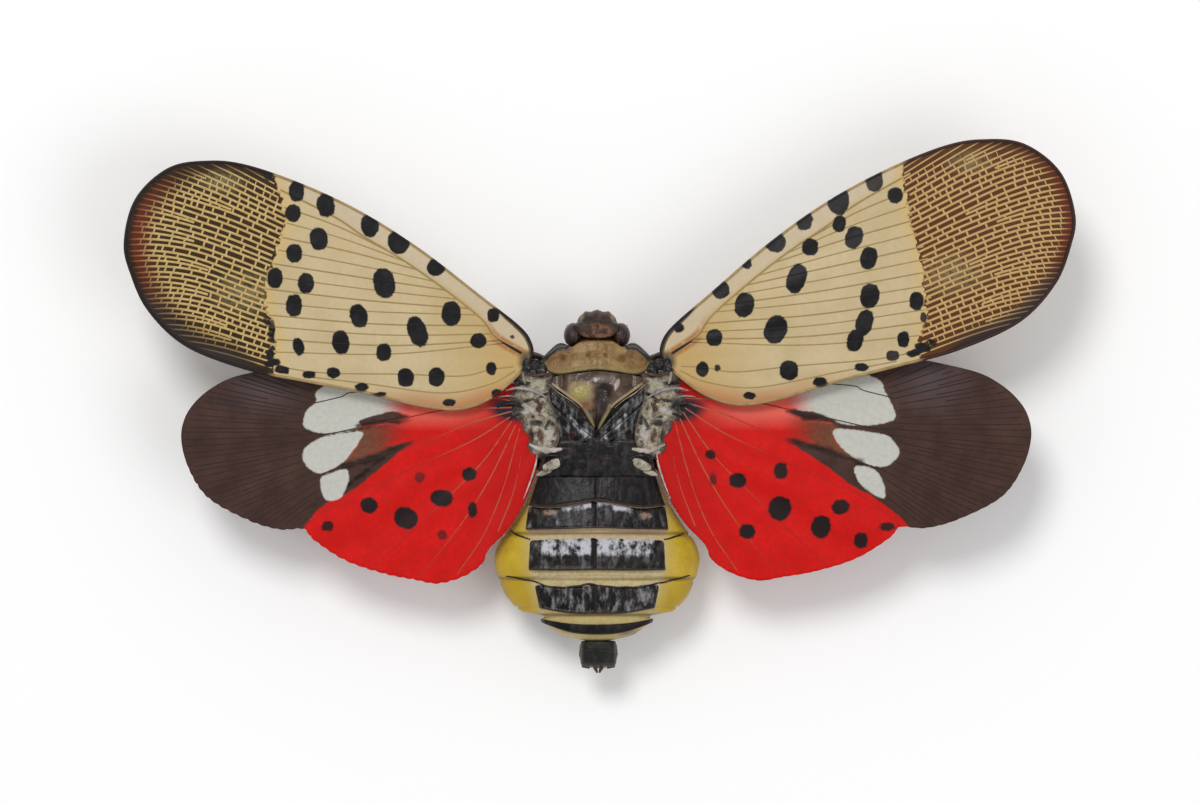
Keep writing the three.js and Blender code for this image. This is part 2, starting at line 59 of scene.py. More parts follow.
# Each wing's edges run from its root to its tip, the leading edge first
FORE_EDGES = (
    [(3.4, -2.6), (3.44, -3.3), (4.05, -4.15), (6, -5.68), (9, -8.0), (12, -9.92), (15, -11.36), (18, -12.4),
     (20, -12.62), (22, -12.25), (23.65, -10.7), (24.22, -8.5)],
    [(3.4, -2.6), (3.98, -1.8), (5.4, -0.57), (7, 0.04), (9, -0.1), (12, -0.8), (15, -1.38), (18, -2.0),
     (21.1, -3.2), (23, -5.0), (23.9, -6.9), (24.22, -8.5)],
)
HIND_EDGES = (
    [(3.7, 0.3), (3.85, -0.9), (6, -1.6), (10, -2.1), (14, -2.3), (16, -2.1), (17.4, -1.84),
     (18.6, -1.56), (19.5, -1.18), (20.46, -.48), (21.15, .44), (21.38, 1.6)],
    [(3.7, 0.3), (3.62, 1.7), (3.14, 2.9), (3.75, 4.76), (4.6, 6.2), (5.65, 7.3), (6, 8.05), (7, 8.7),
     (8.25, 9.03), (9.4, 8.83), (11, 8.51), (13, 7.82), (14.6, 6.75), (15.1, 6.2), (16.4, 6.22), (18, 5.73),
     (20, 4.6), (21, 3.1), (21.38, 1.6)],
)

# Points along a wing's edge, and the share of them that its sheet covers, just short of the root and the tip
EDGE_STEPS = 700
SHEET_START = 0.002
SHEET_SPAN = 0.9975
# The forewing's thick front vein runs over so many of those points, with its radius at some of them
COSTAL_STEPS = 190
COSTAL_THICK = ([0, 20, 60, 189], [0.06, 0.095, 0.085, 0.07])
# Roundness of the spots, where 2 is an ellipse and more is squarer
SPOT_ROUND = 2.25
# Spots as (out from the midline, back, half width, half length, lean in degrees, strength)
FORE_SPOTS = {
    "left": [
        (5.34, -4.75, .33, .38, 0, 1), (4.37, -3.65, .1, .1, 0, .7), (6.11, -3.44, .42, .4, 0, 1),
        (5.45, -2.0, .28, .33, 0, 1), (5.16, -.72, .27, .23, 0, 1), (7.61, -.26, .35, .2, 0, 1),
        (7.5, -4.84, .5, .65, 0, 1), (9.24, -3.9, .5, .8, 20, 1), (8.27, -1.57, .42, .5, 0, 1),
        (9.85, -1.54, .43, .5, 0, 1), (8.3, -7.22, .47, .45, 20, 1), (10.22, -8.5, .55, .62, 20, 1),
        (11.7, -9.35, .47, .58, 10, 1), (13.96, -10.4, .47, .62, 10, 1), (15.46, -11.12, .4, .55, 0, 1),
        (15.64, -10.0, .4, .46, 0, 1), (14.31, -8.68, .47, .6, 10, 1), (15.57, -7.93, .42, .5, 0, 1),
        (10.95, -6.4, .56, .8, 12, 1), (16.55, -6.66, .4, .55, 0, 1), (14.96, -6.4, .42, .55, 0, 1),
        (15.58, -5.25, .42, .6, 0, 1), (12.26, -4.71, .46, .62, 14, 1), (13.18, -3.35, .45, .63, 5, 1),
        (10.97, -2.84, .4, .48, 0, 1), (15.34, -3.13, .3, .47, 14, 1), (13.56, -1.78, .36, .28, 0, 1),
        (14.81, -1.69, .37, .2, 0, 1), (12.09, -1.05, .35, .22, 0, 1), (11.16, -.7, .33, .12, 0, 1),
        (16.7, -2.3, .45, .2, 12, 1), (16.2, -1.95, .4, .22, -10, 1), (16.8, -2.75, .2, .3, 0, .9),
        (16.72, -4.0, .17, .6, 0, .7), (17.0, -4.4, .14, .25, 20, .6), (16.9, -11.95, .22, .3, 0, .6),
    ],
    "right": [
        (4.22, -4.12, .26, .26, 0, 1), (6.38, -6.05, .45, .45, 0, 1), (7.72, -7.4, .25, .28, 0, 1),
        (9.2, -8.5, .53, .52, 25, 1), (10.7, -9.6, .4, .5, 15, 1), (10.98, -8.26, .43, .45, 10, 1),
        (12.44, -10.62, .55, .68, 10, 1), (12.47, -9.45, .35, .45, 10, 1), (14.28, -11.7, .45, .6, 0, .8),
        (15.35, -10.92, .4, .42, 0, 1), (13.23, -8.76, .45, .62, 20, 1), (13.98, -7.68, .45, .6, 10, 1),
        (10.27, -6.64, .5, .8, 20, 1), (7.59, -5.28, .5, .65, 15, 1), (9.2, -4.02, .58, .75, 20, 1),
        (14.03, -5.75, .5, .65, 8, 1), (16.43, -5.47, .38, .48, 0, 1), (16.78, -4.62, .17, .3, 0, .8),
        (13.75, -4.35, .45, .7, 15, 1), (13.28, -3.44, .42, .6, 15, 1), (15.75, -3.5, .32, .42, 0, 1),
        (6.04, -3.6, .43, .45, 0, 1), (5.43, -1.97, .33, .39, 0, 1), (6.2, -2.04, .16, .18, 0, .8),
        (9.88, -1.92, .48, .53, 0, 1), (15.2, -2.67, .35, .28, 0, .8), (13.6, -2.07, .37, .22, 0, 1),
        (11.48, -1.32, .38, .25, 0, 1), (7.86, -.61, .33, .2, 0, 1), (16.75, -3.1, .45, .22, 14, 1),
        (16.3, -2.8, .4, .2, -8, 1), (17.2, -3.35, .3, .16, 20, .8),
    ],
}
HIND_SPOTS = {
    "left": [
        (6.6, 3.44, .38, .36, 0, 1), (9.15, 3.6, .27, .3, 0, .45), (8.02, 4.67, .6, .45, -8, 1),
        (6.43, 5.28, .25, .42, 0, .9), (11.76, 5.04, .46, .42, 0, .95), (9.87, 5.7, .64, .56, -25, .95),
        (13.9, 6.12, .33, .28, 0, .8), (7.99, 6.58, .27, .25, 0, .5),
    ],
    "right": [
        (5.87, 2.44, .28, .26, 0, .8), (6.0, 3.68, .18, .33, 0, .5), (7.27, 3.76, .45, .4, 0, 1),
        (9.48, 3.26, .38, .45, 0, .9), (9.44, 5.2, .6, .64, 20, 1), (12.56, 5.13, .48, .4, 0, .9),
        (11.55, 6.15, .52, .6, 15, 1), (7.76, 6.4, .43, .4, 0, 1), (14.95, 6.15, .42, .24, 0, .8),
        (13.6, 6.86, .38, .42, 0, .9),
    ],
}
# Nodal line, where a forewing's netted tip begins, as (out, back)
NODAL = {
    "left": [(16.9, -14), (16.6, -11.9), (16.2, -10.5), (16.0, -9.7), (16.25, -8.8), (16.5, -8.05),
             (16.85, -7.05), (17, -6.2), (17, -4.95), (16.6, -3.9), (16.5, -3.05), (16.7, -1.0)],
    "right": [(15.7, -15), (15.7, -12.2), (16, -10.55), (16.05, -9.9), (16.3, -8.9), (16.65, -7.55),
              (16.8, -6.8), (16.85, -5.55), (17, -4.55), (16.65, -3.7), (16.5, -1.5)],
}
# Zones of a hindwing as closed outlines: its white cells, its red field and the smoky patch between
WHITE_CELLS = {
    "left": [
        [(9.6, -.35), (11, -.9), (12, -1.4), (13.2, -1.5), (14.1, -1.1), (14.55, -.7), (14.45, -.3),
         (14.9, .05), (15.12, .55), (15.08, 1.02), (14.2, 1.33), (13, 1.22), (12.15, 1.0), (12.3, .7),
         (11.5, .42), (10.6, .2), (9.6, .15)],
        [(12.15, 1.25), (13.9, 1.47), (14.6, 1.75), (15.05, 2.1), (15.18, 2.6), (14.9, 3.1), (14.3, 3.4),
         (13.7, 3.2), (13.0, 2.75), (12.65, 2.3), (12.3, 1.8)],
        [(12.95, 3.15), (13.6, 3.35), (14.2, 3.6), (14.25, 4.1), (14.1, 4.6), (13.9, 4.8), (13.3, 4.7),
         (12.95, 4.2), (12.8, 3.7)],
    ],
    "right": [
        [(9.8, -.8), (11, -1.2), (12.2, -1.5), (13.2, -1.75), (14.1, -1.62), (14.7, -1.3), (14.8, -.95),
         (15.1, -.4), (15.4, .33), (15.2, .68), (14.1, .92), (12.75, .86), (12.1, .6), (11.3, .25),
         (10.2, .05)],
        [(12.3, 1.1), (13.9, 1.25), (15.05, 1.5), (15.6, 2.29), (15.2, 2.86), (14.6, 3.05), (13.6, 2.8),
         (12.75, 2.2), (12.3, 1.65)],
        [(13.4, 3.0), (14.3, 3.2), (14.75, 3.85), (14.84, 4.65), (14.3, 4.5), (13.6, 3.95), (13.3, 3.4)],
    ],
}
RED_FIELD = {
    "left": [(2, -3), (11.2, -3), (11.0, .0), (10.3, .25), (9.7, .45), (10.4, .68), (11.2, .85), (12.2, 1.0),
             (12.5, 1.7), (13.0, 2.7), (11.6, 2.35), (10.3, 1.9), (9.4, 1.7), (10.1, 2.2), (11, 2.98),
             (12, 3.8), (12.9, 4.45), (14, 4.95), (14.6, 5.5), (15.2, 6.3), (15, 10), (2, 10)],
    "right": [(2, -3), (11.4, -3), (11.2, -.1), (10.4, .05), (9.7, .2), (10.5, .45), (11.2, .6), (12.1, .78),
              (12.5, 1.5), (13.1, 2.4), (12.0, 2.05), (10.6, 1.75), (9.8, 1.65), (10.7, 2.3), (11.9, 3.07),
              (13, 3.95), (14.07, 4.5), (15, 5.16), (15.7, 5.7), (16.3, 6.4), (16, 10), (2, 10)],
}
SMOKY_PATCH = {
    "left": [(8.9, .75), (10, .75), (11, .9), (12.2, 1.05), (12.4, 1.7), (12.9, 2.5), (12.9, 2.85),
             (11.5, 2.4), (10.2, 1.85), (9.1, 1.55)],
    "right": [(9.2, .4), (10.4, .5), (12.2, .75), (12.4, 1.6), (13.2, 2.5), (13.1, 2.65), (12.0, 2.15),
              (10.3, 1.65), (9.4, 1.5)],
}
DARK_STREAKS = {
    "left": [[(9.7, .5), (10.9, .72), (12.3, .92)], [(9.4, 1.75), (10.4, 2.1), (11.6, 2.6), (13.1, 3.05)]],
    "right": [[(9.8, .2), (11, .5), (12.2, .72)], [(9.9, 1.7), (11, 2.0), (12.1, 2.32), (13.6, 2.85)]],
}


# Curves and distances

def profile(stations):
    """A smooth function through (position, value) stations."""
    place, value = (np.array(column, float) for column in zip(*stations))
    slope = np.gradient(value, place)

    def at(t):
        t = np.clip(np.asarray(t, float), place[0], place[-1])
        i = np.clip(np.searchsorted(place, t) - 1, 0, len(place) - 2)
        span = place[i + 1] - place[i]
        s = (t - place[i]) / span
        blend = s * s * (3 - 2 * s)
        tangents = s * (1 - s) * ((1 - s) * slope[i] - s * slope[i + 1]) * span
        return value[i] * (1 - blend) + value[i + 1] * blend + tangents
    return at


def unit(t):
    """Held between 0 and 1."""
    return np.clip(t, 0, 1)


def ease(t):
    """From 0 to 1 with a soft start and end."""
    t = unit(t)
    return t * t * (3 - 2 * t)


def hill(distance, width):
    """1 at no distance and falling off softly to both sides."""
    return np.exp(-(distance / width) ** 2)


def smooth_path(points, count, closed=False):
    """count points along a smooth curve through the given ones, evenly spaced."""
    p = np.array(points, float)
    if closed:
        p = np.vstack([p[-1], p, p[0], p[1]])
    else:
        p = np.vstack([2 * p[0] - p[1], p, 2 * p[-1] - p[-2]])
    fine = []
    for a, b, c, d in zip(p[:-3], p[1:-2], p[2:-1], p[3:]):
        t = np.linspace(0, 1, 24, endpoint=False)[:, None]
        fine.append(0.5 * (2 * b + (c - a) * t + (2 * a - 5 * b + 4 * c - d) * t ** 2
                           + (3 * b - a - 3 * c + d) * t ** 3))
    fine = np.vstack(fine + [p[-2][None]])
    run = np.r_[0, np.cumsum(np.linalg.norm(np.diff(fine, axis=0), axis=1))]
    even = np.linspace(0, run[-1], count, endpoint=not closed)
    return np.column_stack([np.interp(even, run, fine[:, k]) for k in range(p.shape[1])])


def distance_to_line(x, y, line, closed=False):
    """Distance of each point to a line of straight pieces, and for a closed one positive inside."""
    ends = np.roll(line, -1, axis=0) if closed else line[1:]
    starts = line if closed else line[:-1]
    nearest = np.full(x.shape, 1e9)
    inside = np.zeros(x.shape, bool)
    for (ax, ay), (bx, by) in zip(starts, ends):
        dx, dy = bx - ax, by - ay
        t = unit(((x - ax) * dx + (y - ay) * dy) / max(dx * dx + dy * dy, 1e-12))
        nearest = np.minimum(nearest, np.hypot(x - ax - t * dx, y - ay - t * dy))
        if closed and ay != by:
            crosses = (ay > y) != (by > y)
            inside ^= crosses & (x < ax + (y - ay) * dx / dy)
    return np.where(inside, nearest, -nearest) if closed else nearest


def inside_outline(x, y, outline):
    return distance_to_line(x, y, smooth_path(outline, 90, closed=True), closed=True)


def turned(x, y, centre_x, centre_y, lean):
    """Points seen from a centre whose axes lean by so many degrees, as (across, along)."""
    turn = math.radians(lean)
    dx, dy = x - centre_x, y - centre_y
    return dx * math.cos(turn) + dy * math.sin(turn), -dx * math.sin(turn) + dy * math.cos(turn)


def spot_field(x, y, spots):
    """How far inside the nearest spot each point lies, and that spot's strength."""
    best = np.full(x.shape, -1.0)
    strength = np.ones(x.shape)
    for sx, sy, wide, long, lean, power in spots:
        across, along = turned(x, y, sx, sy, lean)
        reach = (np.abs(across / wide) ** SPOT_ROUND + np.abs(along / long) ** SPOT_ROUND) ** (1 / SPOT_ROUND)
        depth = (1 - reach) * min(wide, long)
        strength = np.where(depth > best, 1 - (1 - power) ** 2, strength)
        best = np.maximum(best, depth)
    return best, strength


# Making pieces

def mesh_arrays(piece):
    co = np.empty(len(piece.data.vertices) * 3)
    piece.data.vertices.foreach_get("co", co)
    return co.reshape(-1, 3)


def set_points(piece, points):
    piece.data.vertices.foreach_set("co", np.ascontiguousarray(points * MM, np.float32).ravel())
    piece.data.update()


def points_of(piece):
    """The piece's points, in millimetres."""
    return mesh_arrays(piece) / MM


def select_only(piece):
    bpy.ops.object.select_all(action="DESELECT")
    piece.select_set(True)
    bpy.context.view_layer.objects.active = piece


def face_out(piece):
    select_only(piece)
    bpy.ops.object.mode_set(mode="EDIT")
    bpy.ops.mesh.select_all(action="SELECT")
    bpy.ops.mesh.normals_make_consistent(inside=False)
    bpy.ops.object.mode_set(mode="OBJECT")


def shaped_sheet(name, columns, rows, place):
    """A grid whose (u, v), each from 0 to 1, are carried by place to points in millimetres."""
    bpy.ops.object.select_all(action="DESELECT")
    bpy.ops.mesh.primitive_grid_add(x_subdivisions=columns, y_subdivisions=rows, size=2)
    piece = bpy.context.object
    piece.name = piece.data.name = name
    flat = mesh_arrays(piece)
    set_points(piece, place((flat[:, 0] + 1) / 2, (flat[:, 1] + 1) / 2))
    return piece


def shaped_ball(name, segments, rings, place):
    """A ball whose angle round its axis and share of the way from pole to pole are carried by place."""
    bpy.ops.object.select_all(action="DESELECT")
    bpy.ops.mesh.primitive_uv_sphere_add(segments=segments, ring_count=rings, radius=1)
    piece = bpy.context.object
    piece.name = piece.data.name = name
    co = mesh_arrays(piece)
    angle = np.arctan2(co[:, 1], co[:, 0])
    share = np.arccos(np.clip(co[:, 2], -1, 1)) / math.pi
    set_points(piece, place(angle, share))
    face_out(piece)
    smooth(piece)
    return piece


def thicken(piece, thickness):
    """Gives a sheet its thickness in millimetres, to both sides alike, and a smooth surface."""
    select_only(piece)
    modifier = piece.modifiers.new("Thickness", "SOLIDIFY")
    modifier.thickness = thickness * MM
    modifier.offset = 0.0
    bpy.ops.object.modifier_apply(modifier=modifier.name)
    face_out(piece)
    smooth(piece)


def smooth(piece):
    select_only(piece)
    bpy.ops.object.shade_smooth()


def tubes(name, runs, sides=1):
    """Thin round tubes along runs of (x, y, z, radius) points, as one mesh."""
    curve = bpy.data.curves.new(name, "CURVE")
    curve.dimensions = "3D"
    curve.bevel_depth = MM
    curve.bevel_resolution = sides
    curve.use_fill_caps = True
    for run in runs:
        spline = curve.splines.new("POLY")
        spline.points.add(len(run) - 1)
        run = np.array(run, float)
        spline.points.foreach_set("co", np.column_stack([run[:, :3] * MM, np.ones(len(run))]).ravel())
        spline.points.foreach_set("radius", run[:, 3])
    piece = bpy.data.objects.new(name, curve)
    bpy.context.collection.objects.link(piece)
    select_only(piece)
    bpy.ops.object.convert(target="MESH")
    piece = bpy.context.object
    piece.name = piece.data.name = name
    smooth(piece)
    return piece


def keep_fields(piece, limit=math.inf, **fields):
    """Keeps a number or one number per point under each name, within the limit, for the material to read."""
    for name, values in fields.items():
        layer = piece.data.attributes.new(name, "FLOAT", "POINT")
        values = np.broadcast_to(np.clip(values, -limit, limit), len(piece.data.vertices))
        layer.data.foreach_set("value", np.ascontiguousarray(values, np.float32))


def finish_piece(piece, material, replaced=()):
    piece.data.materials.clear()
    piece.data.materials.append(material)
    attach(piece, "root")
    if replaced:
        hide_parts(*replaced)
    return piece


# Materials

class Shade:
    """One socket of a material, so that shader maths reads as plain expressions."""

    def __init__(self, paint, socket):
        self.paint = paint
        self.socket = socket

    def math(self, operation, *values):
        return self.paint.math(operation, self, *values)

    def __add__(self, other):
        return self.math("ADD", other)

    __radd__ = __add__

    def __sub__(self, other):
        return self.math("SUBTRACT", other)

    def __rsub__(self, other):
        return self.paint.math("SUBTRACT", other, self)

    def __mul__(self, other):
        return self.math("MULTIPLY", other)

    __rmul__ = __mul__

    def __truediv__(self, other):
        return self.math("DIVIDE", other)

    def __neg__(self):
        return self * -1

    def ragged(self, waves, amount=1):
        """Unevener by waves that run from 0 to 1."""
        return self + (waves - 0.5) * amount

    def step(self, low, high):
        """0 below low, 1 above high, and smooth between."""
        inputs = {"Value": self, "From Min": low, "From Max": high}
        node = self.paint.add("ShaderNodeMapRange", {"interpolation_type": "SMOOTHSTEP"}, inputs)
        return Shade(self.paint, node.outputs[0])


class Paint:
    """A material with a Principled shader, and the few calls that build its nodes."""

    def __init__(self, name, roughness=0.5, coat=0.0, specular=0.5, sheen=0.0):
        self.material = bpy.data.materials.new(name)
        self.material.use_nodes = True
        self.nodes = self.material.node_tree.nodes
        self.links = self.material.node_tree.links
        self.shader = self.nodes["Principled BSDF"]
        self.shader.inputs["Roughness"].default_value = roughness
        self.shader.inputs["Coat Weight"].default_value = coat
        self.shader.inputs["Coat Roughness"].default_value = 0.15
        self.shader.inputs["Specular IOR Level"].default_value = specular
        self.shader.inputs["Sheen Weight"].default_value = sheen
        self.place = None

    def add(self, kind, settings, inputs):
        node = self.nodes.new(kind)
        for key, value in settings.items():
            setattr(node, key, value)
        for key, value in inputs.items():
            self.feed(node.inputs[key], value)
        return node

    def feed(self, socket, value):
        if isinstance(value, Shade):
            self.links.new(value.socket, socket)
        elif isinstance(value, str):
            socket.default_value = (*tone(value), 1)
        else:
            socket.default_value = value

    def math(self, operation, *values):
        node = self.add("ShaderNodeMath", {"operation": operation}, dict(enumerate(values)))
        return Shade(self, node.outputs[0])

    def field(self, name):
        node = self.add("ShaderNodeAttribute", {"attribute_name": name}, {})
        return Shade(self, node.outputs["Fac"])

    def object_place(self):
        if self.place is None:
            self.place = self.add("ShaderNodeTexCoord", {}, {}).outputs["Object"]
        return Shade(self, self.place)

    def axes(self):
        """The place on the piece as three shades in millimetres."""
        split = self.add("ShaderNodeSeparateXYZ", {}, {"Vector": self.object_place()})
        return [Shade(self, out) / MM for out in split.outputs]

    def out(self):
        """The distance from the insect's midline, in millimetres."""
        return self.math("ABSOLUTE", self.axes()[0])

    def noise(self, size, detail=3, roughness=0.55, stretch=(1, 1, 1)):
        """Noise from about 0 to 1, with waves of the given size in millimetres."""
        where = self.add("ShaderNodeMapping", {}, {"Vector": self.object_place(), "Scale": stretch})
        inputs = {"Vector": Shade(self, where.outputs[0]), "Scale": 1 / (size * MM), "Detail": detail,
                  "Roughness": roughness}
        return Shade(self, self.add("ShaderNodeTexNoise", {}, inputs).outputs[0])

    def cells(self, size, feature="F1"):
        inputs = {"Vector": self.object_place(), "Scale": 1 / (size * MM)}
        node = self.add("ShaderNodeTexVoronoi", {"feature": feature}, inputs)
        return Shade(self, node.outputs["Distance"])

    def mix(self, factor, under, over):
        node = self.add("ShaderNodeMix", {"data_type": "RGBA"}, {0: factor, 6: under, 7: over})
        return Shade(self, node.outputs[2])

    def colour(self, value):
        self.feed(self.shader.inputs["Base Color"], value)

    def roughness(self, value):
        self.feed(self.shader.inputs["Roughness"], value)

    def bump(self, height, depth, strength=1.0):
        """Height from 0 to 1 stands for that depth in millimetres."""
        inputs = {"Height": height, "Distance": depth * MM, "Strength": strength}
        node = self.add("ShaderNodeBump", {}, inputs)
        self.feed(self.shader.inputs["Normal"], Shade(self, node.outputs[0]))


def tone(code):
    """A linear colour from a screen colour such as 'c9b78f'."""
    parts = [int(code[i:i + 2], 16) / 255 for i in (0, 2, 4)]
    return tuple(c / 12.92 if c <= 0.04045 else ((c + 0.055) / 1.055) ** 2.4 for c in parts)


# Wings

def placed(kind, side, x, y):
    """From the left wing's own outline to the held wing, as (out, back) on either side."""
    hold = HOLD[kind, side]
    hx, hy = HINGE[kind]
    turn = math.radians(hold["turn"])
    out = (x - hx) * hold["reach"]
    aft = (y - hy) * hold["chord"]
    return (hx + out * math.cos(turn) - aft * math.sin(turn),
            hy + hold["back"] + out * math.sin(turn) + aft * math.cos(turn))


def unplaced(kind, side, x, y):
    """The way back from the held wing to the left wing's own outline."""
    hold = HOLD[kind, side]
    hx, hy = HINGE[kind]
    turn = math.radians(hold["turn"])
    dx = x - hx
    dy = y - hy - hold["back"]
    out = dx * math.cos(turn) + dy * math.sin(turn)
    aft = -dx * math.sin(turn) + dy * math.cos(turn)
    return hx + out / hold["reach"], hy + aft / hold["chord"]


def wing_level(kind, x, y):
    """Height of the wing's mid surface, the same as the solid's."""
    hx, hy = HINGE[kind]
    out = np.maximum(x - hx, 0)
    middle = hy - 0.26 * (x - hx) if kind == "fore" else hy + 2.6 + 0.05 * (x - hx)
    across = (y - middle) / (6 if kind == "fore" else 5)
    spread = np.minimum(out / 6, 1)
    arch = WING_CAMBER[kind] * spread * (np.cos(across * math.pi / 2) - 0.6)
    return WING_HEIGHT[kind] + WING_RISE[kind] * out + arch


def wing_relief(kind, side, x, y):
    """Shallow pleats that run out from the hinge."""
    hx, hy = HINGE[kind]
    angle = np.arctan2(y - hy, x - hx + 1.5)
    away = np.hypot(x - hx, y - hy)
    grows = unit(away / 8)
    if kind == "fore":
        return 0.03 * grows * np.sin(angle * 38)
    fan = unit((angle - 0.1) / 0.5)
    return grows * (0.035 * np.sin(angle * 30) + 0.05 * fan * np.sin(angle * 17 + 1))


def wing_height(kind, side, x, y):
    return wing_level(kind, x, y) + wing_relief(kind, side, x, y)


def wing_edges(kind, side, count):
    """Leading and trailing edge of the left wing, root to tip, cut from one smooth outline."""
    lead, trail = FORE_EDGES if kind == "fore" else HIND_EDGES
    ring = smooth_path(lead + trail[::-1][1:-1], 4 * count, closed=True)
    tip = int(np.argmin(np.linalg.norm(ring - lead[-1], axis=1)))
    root = int(np.argmin(np.linalg.norm(ring - lead[0], axis=1)))
    ring = np.roll(ring, -root, axis=0)
    tip = (tip - root) % len(ring)
    marks = np.linspace(0, 1, count)
    edges = []
    for edge in (ring[:tip + 1], np.vstack([ring[tip:], ring[:1]])[::-1]):
        run = np.r_[0, np.cumsum(np.linalg.norm(np.diff(edge, axis=0), axis=1))]
        edges.append(np.column_stack([np.interp(marks * run[-1], run, edge[:, k]) for k in (0, 1)]))
    if kind == "hind":
        trail = edges[1]
        length = np.r_[0, np.cumsum(np.linalg.norm(np.diff(trail, axis=0), axis=1))]
        way = np.gradient(trail, axis=0)
        way /= np.linalg.norm(way, axis=1)[:, None]
        wave = np.abs(np.sin(length * math.pi / SCALLOP + 0.6 * np.sin(length))) - 0.5
        where = ease((marks - 0.2) / 0.15) * ease((0.97 - marks) / 0.05)
        trail += (SCALLOP_DEPTH[side] * wave * where)[:, None] * np.column_stack([-way[:, 1], way[:, 0]])
    return edges


def make_membrane(kind, side, columns, rows):
    sign = SIDES[side]
    lead, trail = wing_edges(kind, side, EDGE_STEPS)
    steps = np.linspace(0, 1, EDGE_STEPS)

    def place(u, v):
        u = SHEET_START + SHEET_SPAN * u
        x = np.interp(u, steps, lead[:, 0]) * (1 - v) + np.interp(u, steps, trail[:, 0]) * v
        y = np.interp(u, steps, lead[:, 1]) * (1 - v) + np.interp(u, steps, trail[:, 1]) * v
        x, y = placed(kind, side, x, y)
        return np.column_stack([sign * x, y, wing_height(kind, side, x, y)])

    piece = shaped_sheet(f"{kind}wing_{side}_membrane", columns, rows, place)
    thicken(piece, MEMBRANE)
    return piece


def wing_outline(kind, side, count=400):
    lead, trail = wing_edges(kind, side, count // 2)
    ring = np.vstack([lead, trail[::-1][1:-1]])
    x, y = placed(kind, side, ring[:, 0], ring[:, 1])
    return np.column_stack([x, y])


def flat_points(piece):
    p = points_of(piece)
    return np.abs(p[:, 0]), p[:, 1]


def rise_of(kind, side, run, radius, lift=0.0):
    """A run of (out, back) points put on the wing, as (x, y, z, radius)."""
    run = np.array(run, float)
    radius = np.broadcast_to(radius, len(run))
    z = wing_height(kind, side, run[:, 0], run[:, 1]) + lift
    return np.column_stack([SIDES[side] * run[:, 0], run[:, 1], z, radius])


def beyond_nodal(x, y, side):
    line = np.array(NODAL[side])
    return x - np.interp(y, line[:, 1], line[:, 0])


def clip_to_wing(run, outline, inset):
    """The first unbroken stretch of a run that lies inside the wing."""
    depth = distance_to_line(run[:, 0], run[:, 1], outline, closed=True)
    keep = depth > inset
    if not keep.any():
        return None
    first = int(np.argmax(keep))
    rest = keep[first:]
    last = len(rest) if rest.all() else int(np.argmin(rest))
    return run[first:first + last] if last > 2 else None


# The netted tip: rows leave the nodal line at one slope, in degrees, and reach the margin at another.
# New rows come in between on the way out.
NET_TOP = -13.7
NET_BOTTOM = -1.6
NET_LENGTH = 9.0
NET_SLOPES = ([34, 31, 28, 25, 23, 21, 20, 19, 18], [28, 24, 18, 9, 3, -3, -9, -14, -16])
NET_ROWS = 40
NET_EXTRA_ROWS = 11
NET_VEIN = 0.086
CELL = 0.74


def net_lattice():
    """Points (share across, share out) to (out, back) on the left wing, as two tables."""
    across = np.linspace(0, 1, 161)
    outward = np.linspace(0, 1, 91)
    marks = np.linspace(0, 1, len(NET_SLOPES[0]))
    first, last = (np.radians(np.interp(across, marks, slopes)) for slopes in NET_SLOPES)
    slope = first[:, None] + (last - first)[:, None] * (np.minimum(outward * 1.1, 1) ** 2.6)[None, :]
    start_y = NET_TOP + (NET_BOTTOM - NET_TOP) * across
    step = NET_LENGTH * (outward[1] - outward[0])
    climb = np.cumsum(np.tan(slope), axis=1) * step
    x = 15.9 + NET_LENGTH * outward[None, :] + np.zeros_like(slope)
    y = start_y[:, None] - (climb - climb[:, :1])
    return x, y


def net_rows(draw):
    """Each row's share across at even steps outward, and where along it the row comes in."""
    count = NET_ROWS + NET_EXTRA_ROWS
    gap = count / NET_EXTRA_ROWS
    late = {int(gap * (k + 0.2 + 0.6 * draw.random())) for k in range(NET_EXTRA_ROWS)}
    outward = np.linspace(0, 1, 91)
    begin = np.array([draw.uniform(0.2, 0.42) if k in late else -1.0 for k in range(count)])
    weight = ease((outward[None, :] - begin[:, None]) / 0.5)
    weight[begin < 0] = 1
    run = np.cumsum(weight, axis=0) - weight / 2
    shake = np.array([draw.uniform(-0.1, 0.1) for _ in range(count)])[:, None] * weight
    return (run + shake) / (run[-1] + weight[-1] / 2), begin + 0.11


